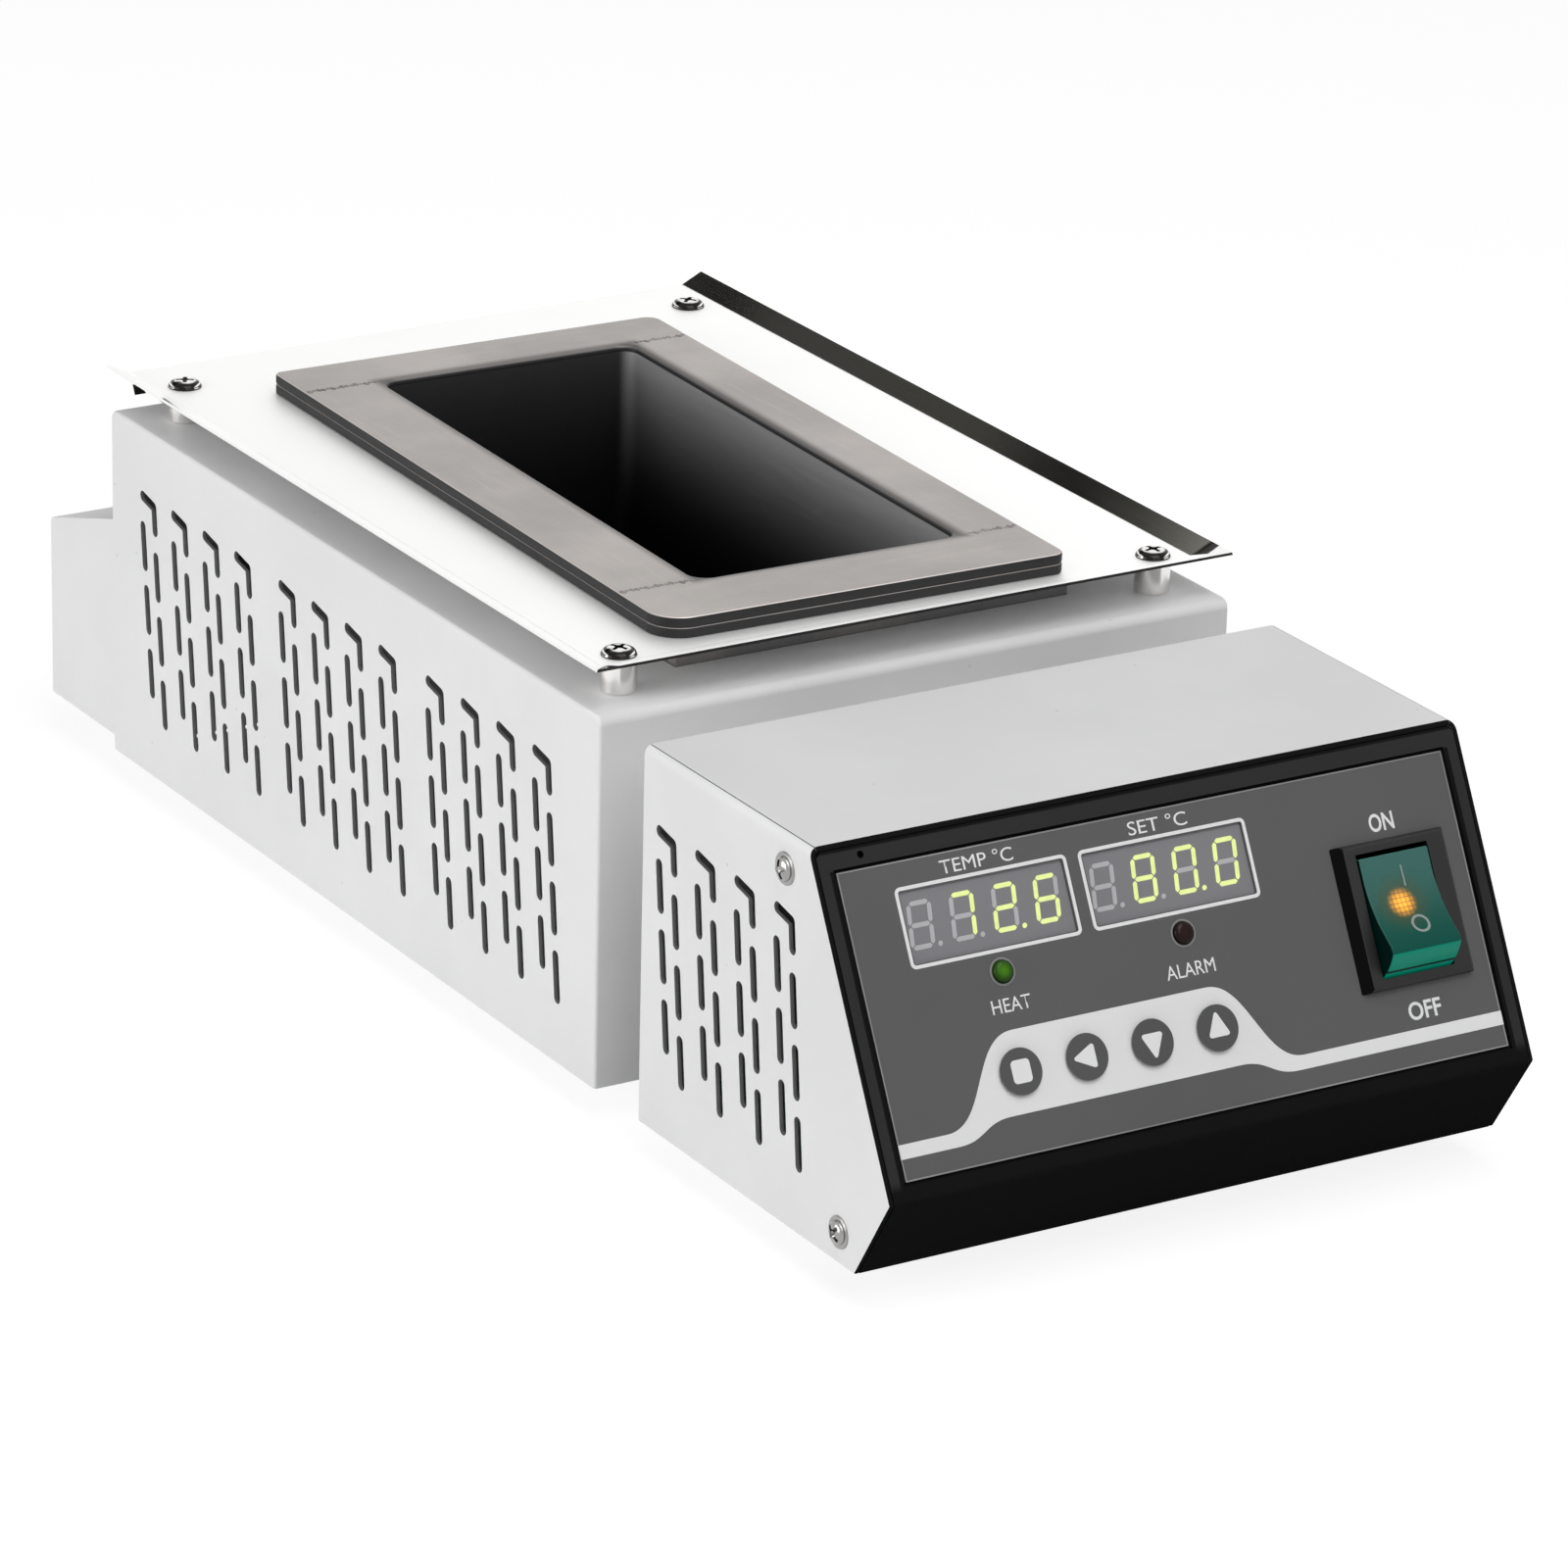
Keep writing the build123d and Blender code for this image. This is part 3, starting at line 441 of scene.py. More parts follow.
class Wire:
    """A shader socket in an expression: arithmetic on it adds Math nodes."""

    def __init__(self, shader: "Shader", socket: bpy.types.NodeSocket) -> None:
        """Wraps an output socket."""
        self.shader = shader
        self.socket = socket

    def math(self, operation: str, first: object, second: object = None) -> "Wire":
        """A Math node on two values."""
        inputs = {0: first} if second is None else {0: first, 1: second}
        return self.shader.wire("ShaderNodeMath", {"operation": operation}, inputs)

    __add__ = arithmetic("ADD")
    __radd__ = arithmetic("ADD", number_first=True)
    __sub__ = arithmetic("SUBTRACT")
    __rsub__ = arithmetic("SUBTRACT", number_first=True)
    __mul__ = arithmetic("MULTIPLY")
    __rmul__ = arithmetic("MULTIPLY", number_first=True)
    __truediv__ = arithmetic("DIVIDE")
    __pow__ = arithmetic("POWER")

    def above(self, limit: float) -> "Wire":
        """One where the value is above a limit, otherwise nothing."""
        return self.math("GREATER_THAN", self, limit)

    def most(self, other: object) -> "Wire":
        """The larger of two values."""
        return self.math("MAXIMUM", self, other)

    def size(self) -> "Wire":
        """The value without its sign."""
        return self.math("ABSOLUTE", self)

    def fold(self, length: float) -> "Wire":
        """The value folded to and fro between nothing and a length."""
        return self.math("PINGPONG", self, length)

    def step(self, low: float, high: float) -> "Wire":
        """A smooth step from nothing at low to one at high."""
        inputs = {"Value": self, "From Min": low, "From Max": high}
        return self.shader.wire("ShaderNodeMapRange", {"interpolation_type": "SMOOTHSTEP"}, inputs)


class Shader:
    """A node tree with one method for every node."""

    def __init__(self, tree: bpy.types.NodeTree) -> None:
        """Empties a tree and starts again."""
        self.tree = tree
        tree.nodes.clear()

    @classmethod
    def for_material(cls, name: str) -> tuple["Shader", bpy.types.Material]:
        """A new material and its shader."""
        material = bpy.data.materials.new(name)
        material.use_nodes = True
        return cls(material.node_tree), material

    def node(self, kind: str, settings: dict | None = None, inputs: dict | None = None) -> bpy.types.Node:
        """Adds a node.

        Args:
            kind: The node's type.
            settings: Its own settings, which are set first. The key stops holds a ramp's stops.
            inputs: Values or wires for its sockets, by name or index.

        Returns:
            The node.
        """
        made = self.tree.nodes.new(kind)
        for name, value in (settings or {}).items():
            if name == "stops":
                self.set_stops(made.color_ramp, value)
            else:
                setattr(made, name, value)
        for key, value in (inputs or {}).items():
            if isinstance(value, Wire):
                self.tree.links.new(value.socket, made.inputs[key])
            else:
                made.inputs[key].default_value = value
        return made

    def wire(
        self, kind: str, settings: dict | None = None, inputs: dict | None = None, output: int | str = 0
    ) -> Wire:
        """Adds a node and gives one of its outputs."""
        return Wire(self, self.node(kind, settings, inputs).outputs[output])

    @staticmethod
    def set_stops(ramp: bpy.types.ColorRamp, stops: Sequence[tuple[float, Colour]]) -> None:
        """Gives a ramp its stops."""
        while len(ramp.elements) > 1:
            ramp.elements.remove(ramp.elements[-1])
        for index, (position, colour) in enumerate(stops):
            element = ramp.elements[0] if index == 0 else ramp.elements.new(position)
            element.position = position
            element.color = (*colour, 1)

    def place(self, stretch: Point = (1, 1, 1), turn: Point = (0, 0, 0), centre: Point = (0, 0, 0)) -> Wire:
        """Object coordinates, centred, turned and stretched."""
        base = self.wire("ShaderNodeTexCoord", output="Object")
        moved = self.wire("ShaderNodeVectorMath", {"operation": "SUBTRACT"}, {0: base, 1: centre})
        return self.wire("ShaderNodeMapping", None, {"Vector": moved, "Rotation": turn, "Scale": stretch})

    def noise(self, scale: float, detail: float = 3, stretch: Point = (1, 1, 1), rough: float = 0.5) -> Wire:
        """Noise with features one over scale metres apart, stretched along the axes."""
        inputs = {"Vector": self.place(stretch), "Scale": scale, "Detail": detail, "Roughness": rough}
        return self.wire("ShaderNodeTexNoise", None, inputs)

    def cells(self, scale: float, randomness: float = 1.0) -> Wire:
        """Distance to the nearest of scattered points."""
        inputs = {"Vector": self.place(), "Scale": scale, "Randomness": randomness}
        return self.wire("ShaderNodeTexVoronoi", None, inputs)

    def blend(self, factor: Wire | float, first: Colour | Wire, second: Colour | Wire) -> Wire:
        """Mixes two colours, which a Mix node takes at its sockets 6 and 7 and gives at its output 2."""
        ends = [value if isinstance(value, Wire) else (*value, 1) for value in (first, second)]
        return self.wire("ShaderNodeMix", {"data_type": "RGBA"}, {0: factor, 6: ends[0], 7: ends[1]}, 2)

    def bump(self, height: Wire, strength: float, depth: float) -> Wire:
        """A normal from a height, with the depth in millimetres."""
        inputs = {"Height": height, "Strength": strength, "Distance": depth * MM}
        return self.wire("ShaderNodeBump", None, inputs)

    def split(self, vector: Wire) -> tuple[Wire, Wire, Wire]:
        """The three values of a vector."""
        made = self.node("ShaderNodeSeparateXYZ", None, {0: vector})
        return tuple(Wire(self, output) for output in made.outputs)

    def facing(self) -> tuple[Wire, Wire, Wire]:
        """How far the surface faces right, to the rear and up."""
        return self.split(self.wire("ShaderNodeTexCoord", output="Normal"))

    def surface(self, **sockets: object) -> None:
        """Ends the tree in a Principled shader, with sockets named with underscores for spaces."""
        inputs = {name.replace("_", " "): value for name, value in sockets.items()}
        shader = self.wire("ShaderNodeBsdfPrincipled", None, inputs)
        self.node("ShaderNodeOutputMaterial", None, {0: shader})


@dataclass(frozen=True)
class Finish:
    """A surface's finish: the base that each kind of finish builds on.

    Attributes:
        name: The material's name.
        slot: The record's material slot; not used.
        colour: Base colour, linear.
        roughness: Base roughness.
    """

    name: str
    slot: str
    colour: Colour
    roughness: float

    def material(self) -> bpy.types.Material:
        """The material, made at its first use."""
        name = f"{self.name}_finish"
        if name in bpy.data.materials:
            return bpy.data.materials[name]
        shader, material = Shader.for_material(name)
        self.paint(shader)
        return material

    def shade(self, factor: float) -> Colour:
        """The base colour made lighter or darker."""
        return tuple(min(1.0, channel * factor) for channel in self.colour)

    def paint(self, shader: Shader) -> None:
        """Builds the material's nodes."""
        raise NotImplementedError


@dataclass(frozen=True)
class PowderCoat(Finish):
    """Stoved powder paint on sheet: faint orange peel, slow mottling and a few specks."""

    peel: float = 0.16
    gloss: float = 0.2

    def paint(self, shader: Shader) -> None:
        """Builds the material's nodes."""
        mottle = shader.noise(22, 4)
        peel = shader.noise(420, 2)
        specks = 1 - shader.cells(95).step(0.015, 0.05)
        colour = shader.blend(mottle.step(0.3, 0.7), self.shade(0.965), self.shade(1.02))
        colour = shader.blend(specks * 0.35, colour, self.shade(0.45))
        shader.surface(
            Base_Color=colour,
            Roughness=self.roughness + (mottle - 0.5) * 0.12,
            Specular_IOR_Level=self.gloss,
            Normal=shader.bump(peel, self.peel, 0.12),
        )


@dataclass(frozen=True)
class Moulded(Finish):
    """Moulded plastic, rubber or ceramic with a grain of a given pitch in millimetres."""

    grain: float = 0.5
    relief: float = 0.2
    variation: float = 0.12
    gloss: float = 0.3

    def paint(self, shader: Shader) -> None:
        """Builds the material's nodes."""
        grain = shader.noise(1 / (self.grain * MM), 2)
        slow = shader.noise(30, 4)
        colour = shader.blend(slow, self.shade(1 - self.variation), self.shade(1 + self.variation))
        shader.surface(
            Base_Color=colour,
            Roughness=self.roughness + (slow - 0.5) * 0.14 + (grain - 0.5) * 0.06,
            Specular_IOR_Level=self.gloss,
            Normal=shader.bump(grain, self.relief, 0.06),
        )


@dataclass(frozen=True)
class BareMetal(Finish):
    """Bare or plated metal with fine marks along one direction.

    Attributes:
        along: Stretch of the marks along the three axes: small where they run.
        marks: How much the marks show in the roughness.
        waviness: Depth of the slow waves of the sheet, in millimetres.
        tint: Colour of the stains.
        stain: How much the stains show.
    """

    along: Point = (1.0, 0.03, 1.0)
    marks: float = 0.1
    waviness: float = 0.0
    tint: Colour = (0.5, 0.45, 0.4)
    stain: float = 0.1

    def paint(self, shader: Shader) -> None:
        """Builds the material's nodes."""
        lines = shader.noise(1400, 3, self.along)
        stains = shader.noise(35, 5)
        waves = shader.noise(9, 1)
        height = waves * self.waviness + lines * (0.004 * self.marks)
        shader.surface(
            Base_Color=shader.blend(stains.step(0.45, 0.8) * self.stain, self.colour, self.tint),
            Metallic=1.0,
            Roughness=self.roughness + (lines - 0.5) * self.marks + stains * (0.3 * self.stain),
            Normal=shader.bump(height, 1.0, 1.0),
        )


@dataclass(frozen=True)
class PolishedSheet(Finish):
    """Polished sheet: a wiped, softer bed between bright side flanges, and painted shade on edges facing
    right or front.

    Attributes:
        half_bed: Half of the bed's width, in millimetres.
        bed_roughness: Roughness of the bed.
        edge_shade: Colour of the painted shade on the edges and undersides that face right or to the front.
    """

    half_bed: float = 75.0
    bed_roughness: float = 0.58
    edge_shade: Colour = (0.035, 0.034, 0.033)

    def paint(self, shader: Shader) -> None:
        """Builds the material's nodes."""
        across, _, _ = shader.split(shader.place())
        flange = (across.size() - self.half_bed * MM).step(-0.1 * MM, 0.4 * MM)
        to_right, to_rear, up = shader.facing()
        # Painted shade: faces that look right or to the front, and not upwards, are darkened.
        edge = to_right.most(0 - to_rear).step(0.5, 0.7) * (1 - up.step(0.6, 0.75))
        marks = shader.noise(1400, 3, (1, 0.04, 1))
        smears = shader.noise(30, 4)
        metal = shader.blend(smears.step(0.5, 0.8) * (1 - flange) * 0.25, self.colour, self.shade(0.93))
        polish = self.roughness * flange + self.bed_roughness * (1 - flange) + (marks - 0.5) * 0.03
        shader.surface(
            Base_Color=shader.blend(edge, metal, self.edge_shade),
            Metallic=1.0,
            Roughness=polish + edge * 0.3,
            Normal=shader.bump(marks, 0.1, 0.004),
        )


@dataclass(frozen=True)
class DarkPlating(Finish):
    """Black bright plating with a painted pale reflection on the crown and a painted glint on two flanks.

    Attributes:
        reflection_colour: Colour of the painted reflection on the crown and of the painted glints.
        glint: Direction across the screw in which the painted glints lie on its flanks, to the right and to
            the rear.
    """

    reflection_colour: Colour = (0.86, 0.85, 0.84)
    glint: tuple[float, float] = (0.85, 0.52)

    def paint(self, shader: Shader) -> None:
        """Builds the material's nodes."""
        to_right, to_rear, up = shader.facing()
        wear_and_sheen = shader.noise(420, 3)
        # Painted glints on two flanks and a painted reflection on the crown, chosen by the faces'
        # directions.
        aside = (to_right * self.glint[0] - to_rear * self.glint[1]).size()
        painted_glints = aside.step(0.5, 0.6) * (1 - aside.step(0.72, 0.82))
        painted_glints = painted_glints * up.step(0.35, 0.5) * (1 - up.step(0.75, 0.85))
        painted_reflection = (up + (wear_and_sheen - 0.5) * 0.06).step(0.93, 0.975).most(painted_glints)
        shader.surface(
            Base_Color=shader.blend(painted_reflection, self.colour, self.reflection_colour),
            Metallic=1.0,
            Roughness=self.roughness + (wear_and_sheen - 0.5) * 0.1,
            Normal=shader.bump(wear_and_sheen, 0.1, 0.02),
        )


@dataclass(frozen=True)
class FrontMoulding(Moulded):
    """Moulded front with a satin grey face, glossy black edges, foot and nose, and painted shade beside the
    overlay.

    Attributes:
        corner: Middle of the panel's top edge, in millimetres.
        tilt: Angle of the panel from the vertical, in degrees.
        half_face: Half of the width of the satin face, in millimetres.
        groove: Where the groove's painted shade beside the overlay ends across and starts down the slope, in
            millimetres.
        face_drops: Where the satin face starts and ends down the slope, in millimetres.
        satin: Colour of the satin face.
    """

    corner: Point = (0.0, -165.65, 93.6)
    tilt: float = 27.81
    half_face: float = 78.7
    groove: tuple[float, float] = (76.3, 5.6)
    face_drops: tuple[float, float] = (2.1, 70.6)
    satin: Colour = (0.046, 0.046, 0.047)

    def paint(self, shader: Shader) -> None:
        """Builds the material's nodes."""
        corner = tuple(value * MM for value in self.corner)
        across, along, out = shader.split(shader.place(turn=(radians(self.tilt - 90), 0, 0), centre=corner))
        first, last = (drop * MM for drop in self.face_drops)
        aside = across.size()
        below = (0 - along - self.groove[1] * MM).above(0)
        # Painted shade: the strip beside the overlay keeps the black instead of the satin face.
        groove = (1 - (aside - self.groove[0] * MM).step(0, 0.4 * MM)) * below
        inside = (1 - (aside - self.half_face * MM).step(0, 0.4 * MM)) * (1 - groove)
        inside = inside * (1 - (along + first).step(0, 0.5 * MM)) * (along + last).step(-1.5 * MM, 1.5 * MM)
        face = inside * (out + 0.35 * MM).step(0, 0.25 * MM)
        grain = shader.noise(1 / (self.grain * MM), 2)
        slow = shader.noise(30, 4)
        satin = shader.blend(slow, tuple(value * 0.8 for value in self.satin), self.satin)
        shader.surface(
            Base_Color=shader.blend(face, self.colour, satin),
            Roughness=self.roughness + face * 0.1 + (slow - 0.5) * 0.14 + (grain - 0.5) * 0.06,
            Specular_IOR_Level=self.gloss,
            Normal=shader.bump(grain, self.relief, 0.06),
        )


@dataclass(frozen=True)
class WeldedPlate(Finish):
    """Ground titanium plate: brushed top, dark cut edges and a dark bath, with painted highlights and
    painted shade.

    Attributes:
        edge: Colour of the cut edges.
        scorch: Colour of the heated strip round the bath.
        bath: Colour deep inside the bath, into which the walls darken with depth as painted shade.
        lit_wall: Colour near the mouth of the wall at the right, which faces left: a painted highlight.
        shaded_wall: Colour near the mouth of the other walls: painted shade.
        wall_light_depth: Depth at which that painted light and shade have faded into the bath's colour, in
            millimetres.
        rim_z: Height of the rim's top face, in millimetres.
        centre: Middle of the bath across and along, in millimetres.
        half_bath: Half of the bath's width and length, in millimetres.
        turn: Turn of the rim about the vertical, in degrees.
    """

    edge: Colour = (0.018, 0.0175, 0.018)
    scorch: Colour = (0.06, 0.058, 0.058)
    bath: Colour = (0.003, 0.003, 0.0035)
    lit_wall: Colour = (0.47, 0.465, 0.47)
    shaded_wall: Colour = (0.055, 0.055, 0.058)
    wall_light_depth: float = 46.0
    rim_z: float = 106.1
    centre: tuple[float, float] = (-1.25, 29.2)
    half_bath: tuple[float, float] = (32.75, 75.5)
    turn: float = -1.4

    def paint(self, shader: Shader) -> None:
        """Builds the material's nodes."""
        centre = (self.centre[0] * MM, self.centre[1] * MM, self.rim_z * MM)
        across, along, depth = shader.split(shader.place(turn=(0, 0, radians(-self.turn)), centre=centre))
        to_right, _, up = shader.facing()
        beyond_side = across.size() - self.half_bath[0] * MM
        beyond_end = along.size() - self.half_bath[1] * MM
        on_strip = beyond_side.most(beyond_end)
        top = up.step(0.45, 0.75) * (depth + 2.0 * MM).step(0, 0.5 * MM)
        # Painted highlights: sloped faces and bevels are lightened, and a light line is painted where the
        # plates meet.
        bevel_sheen = up.step(0.4, 0.75) * (1 - up.step(0.93, 0.99))
        seam = (depth + 3.2 * MM).step(0, 0.2 * MM) * (1 - (depth + 2.5 * MM).step(0, 0.1 * MM)) * bevel_sheen
        end_strip = beyond_end.step(0, 0.2 * MM)
        brushed_along = shader.noise(900, 4, (1.0, 0.05, 1.0))
        brushed_across = shader.noise(900, 4, (0.05, 1.0, 1.0))
        brushed = brushed_along * (1 - end_strip) + brushed_across * end_strip
        clouds = shader.noise(26, 5, rough=0.6)
        heat = 1 - on_strip.step(0.2 * MM, 3.4 * MM)
        plate = shader.blend(clouds.step(0.3, 0.75), self.shade(0.86), self.shade(1.12))
        plate = shader.blend((brushed - 0.5).step(0, 0.3) * 0.35, plate, self.shade(1.35))
        plate = shader.blend(heat * 0.8, plate, self.scorch)
        plate = shader.blend(bevel_sheen * (1 - heat) * 0.6, plate, self.shade(1.6))
        inside = (1 - (depth + 1.7 * MM).step(0, 0.4 * MM)) * (1 - on_strip.step(0, 0.4 * MM))
        edge = shader.blend(seam, self.edge, self.shade(0.8))
        # Painted light and shade in the bath: the wall facing left is lit, the others shaded, all darkening
        # with depth.
        wall_light = shader.blend((0 - to_right).step(0.2, 0.9), self.shaded_wall, self.lit_wall)
        fade = ((depth + self.wall_light_depth * MM) / (self.wall_light_depth * MM)).most(0) ** 2.2
        wall = shader.blend(fade, self.bath, wall_light)
        dark = shader.blend(inside, edge, wall)
        shader.surface(
            Base_Color=shader.blend(top, dark, plate),
            Metallic=0.35 + top * 0.4,
            Roughness=self.roughness + (brushed - 0.5) * 0.25 + clouds * 0.08,
            Specular_IOR_Level=0.2,
            Normal=shader.bump(brushed * 0.02 + clouds * 0.05, 0.6, 1.0),
        )


@dataclass(frozen=True)
class WeldBead(Finish):
    """Weld metal: grey-brown and dull, with lighter and darker patches."""

    def paint(self, shader: Shader) -> None:
        """Builds the material's nodes."""
        grit = shader.noise(700, 4)
        patches = shader.noise(160, 3)
        shader.surface(
            Base_Color=shader.blend(patches.step(0.35, 0.7), self.shade(0.6), self.shade(1.3)),
            Metallic=0.7,
            Roughness=self.roughness + (grit - 0.5) * 0.3,
            Normal=shader.bump(grit, 0.5, 0.1),
        )


@dataclass(frozen=True)
class Film(Finish):
    """Printed polyester film: very fine texture, slight smudges."""

    smudge: float = 0.1
    gloss: float = 0.3

    def paint(self, shader: Shader) -> None:
        """Builds the material's nodes."""
        fine = shader.noise(2600, 1)
        smudges = shader.noise(28, 4)
        shader.surface(
            Base_Color=shader.blend(smudges, self.shade(1 - self.smudge), self.shade(1 + self.smudge)),
            Roughness=self.roughness + (smudges - 0.5) * 0.2,
            Specular_IOR_Level=self.gloss,
            Normal=shader.bump(fine, 0.12, 0.03),
        )


@dataclass(frozen=True)
class Glowing(Finish):
    """A lit segment or lens: its colour glows with slight unevenness."""

    glow: Colour = (1.0, 1.0, 1.0)
    strength: float = 1.0

    def paint(self, shader: Shader) -> None:
        """Builds the material's nodes."""
        uneven = shader.noise(500, 2)
        dimmer = tuple(channel * 0.75 for channel in self.glow)
        shader.surface(
            Base_Color=shader.blend(uneven, self.shade(0.9), self.shade(1.1)),
            Roughness=self.roughness + (uneven - 0.5) * 0.1,
            Emission_Color=shader.blend(uneven, dimmer, self.glow),
            Emission_Strength=self.strength,
            Normal=shader.bump(uneven, 0.05, 0.05),
        )


@dataclass(frozen=True)
class Lens(Finish):
    """Round lamp lens: a bright heart that darkens to its rim.

    Attributes:
        centre: Middle of the lens, in millimetres.
        radius: Its radius, in millimetres.
        heart: Colour of the glow in the middle.
        strength: Strength of the glow.
    """

    centre: Point = (0.0, 0.0, 0.0)
    radius: float = 2.5
    heart: Colour = (0.1, 0.6, 0.05)
    strength: float = 0.6

    def paint(self, shader: Shader) -> None:
        """Builds the material's nodes."""
        centre = tuple(value * MM for value in self.centre)
        place = shader.place(centre=centre)
        offset = shader.wire("ShaderNodeVectorMath", {"operation": "LENGTH"}, {0: place}, 1)
        heart = 1 - offset.step(0, self.radius * MM * 1.1)
        streaks = shader.noise(900, 2)
        shader.surface(
            Base_Color=shader.blend(heart, self.shade(0.5), self.colour),
            Roughness=self.roughness + (streaks - 0.5) * 0.06,
            Specular_IOR_Level=0.15,
            Emission_Color=shader.blend(heart, (0, 0, 0), self.heart),
            Emission_Strength=self.strength,
            Normal=shader.bump(streaks, 0.08, 0.05),
        )


@dataclass(frozen=True)
class RockerLens(Finish):
    """Clear tinted rocker with a lamp shining through a gridded diffuser.

    Attributes:
        hot_spot: Where the lamp shines through, in millimetres.
        turn: Tilt of the rocker about X, in degrees.
        reach: Radius of the glow across and along, in millimetres.
        half_length: Where its upper and lower end faces start from its middle, in millimetres.
        grid: Half of the pitch of the diffuser's grid, in millimetres.
        glow: Colour of the lamp between the grid's bars.
        ember: Colour of the lamp behind the bars.
        upper: Colour of the rocker's upper half.
        lip: Colour of its lower end.
        trim: Colour of its upper end.
        shade_side: Colour of the side wall that faces left and of the groove line on the lower end: painted
            shade.
        halo: Colour round the lamp.
        dots: Colour of the lit diffuser.
    """

    hot_spot: Point = (53.0, -184.0, 62.0)
    turn: float = 0.0
    reach: tuple[float, float] = (4.2, 4.0)
    half_length: float = 10.9
    grid: float = 0.55
    glow: Colour = (1.0, 0.40, 0.045)
    ember: Colour = (0.42, 0.06, 0.0)
    upper: Colour = (0.06, 0.17, 0.15)
    lip: Colour = (0.004, 0.20, 0.135)
    trim: Colour = (0.03, 0.045, 0.045)
    shade_side: Colour = (0.0, 0.006, 0.005)
    halo: Colour = (0.14, 0.09, 0.01)
    dots: Colour = (0.9, 0.45, 0.05)

    def paint(self, shader: Shader) -> None:
        """Builds the material's nodes."""
        centre = tuple(value * MM for value in self.hot_spot)
        local = shader.place(turn=(radians(self.turn), 0, 0), centre=centre)
        across, along, out = shader.split(local)
        spread = ((across / (self.reach[0] * MM)) ** 2 + (along / (self.reach[1] * MM)) ** 2) ** 0.5
        to_right, _, _ = shader.facing()
        # Painted shade on the side wall that faces left.
        flank = (0 - to_right).step(0.75, 0.92)
        lip = (-self.half_length * MM - along).step(0, 0.3 * MM) * (1 - flank)
        trim = (along - self.half_length * MM).step(0, 0.3 * MM) * (1 - flank)
        # Painted shade: a dark groove line across the lower end.
        groove = (out + 2.9 * MM).step(0, 0.25 * MM) * (1 - (out + 2.2 * MM).step(0, 0.25 * MM)) * lip
        near_face = (out + 4.0 * MM).step(0, 1.0 * MM) * (1 - flank)
        core = (1 - spread.step(0.1, 0.95)) * near_face
        halo = (1 - spread.step(0.4, 1.9)) * near_face
        grid_x = across.fold(self.grid * MM).step(0.02 * MM, 0.2 * MM)
        grid_y = along.fold(self.grid * MM).step(0.02 * MM, 0.2 * MM)
        grid = grid_x * grid_y
        face = shader.blend(along.step(-9.0 * MM, 9.0 * MM), self.colour, self.upper)
        face = shader.blend(lip, face, self.lip)
        face = shader.blend(trim, face, self.trim)
        face = shader.blend(flank.most(groove), face, self.shade_side)
        body = shader.blend(halo * 0.45, face, self.halo)
        dots = shader.blend(grid * core, body, self.dots)
        depth = shader.noise(160, 2)
        lamp = shader.blend(grid * 0.65 + 0.35, self.ember, self.glow)
        inner = shader.blend(lip * (1 - groove), (0.0, 0.004, 0.003), (0.0, 0.08, 0.05))
        glow = shader.blend(core, inner, lamp)
        shader.surface(
            Base_Color=dots,
            Roughness=self.roughness + (depth - 0.5) * 0.08,
            Specular_IOR_Level=0.12,
            Emission_Color=glow,
            Emission_Strength=0.95,
            Normal=shader.bump(depth, 0.08, 0.3),
        )


@dataclass(frozen=True)
class Fibre(Finish):
    """Pressed ceramic fibre: matt, soft and slightly lumpy."""

    def paint(self, shader: Shader) -> None:
        """Builds the material's nodes."""
        lumps = shader.noise(260, 6, rough=0.7)
        shader.surface(
            Base_Color=shader.blend(lumps, self.shade(0.8), self.shade(1.08)),
            Roughness=self.roughness,
            Normal=shader.bump(lumps, 0.8, 0.8),
        )


@dataclass(frozen=True)
class CircuitBoard(Finish):
    """Solder-masked board with faint tracks."""

    def paint(self, shader: Shader) -> None:
        """Builds the material's nodes."""
        tracks = shader.cells(240, 0.4).step(0.42, 0.5)
        weave = shader.noise(900, 2)
        shader.surface(
            Base_Color=shader.blend(tracks, self.colour, self.shade(1.6)),
            Roughness=self.roughness + (weave - 0.5) * 0.1,
            Normal=shader.bump(tracks, 0.3, 0.05),
        )


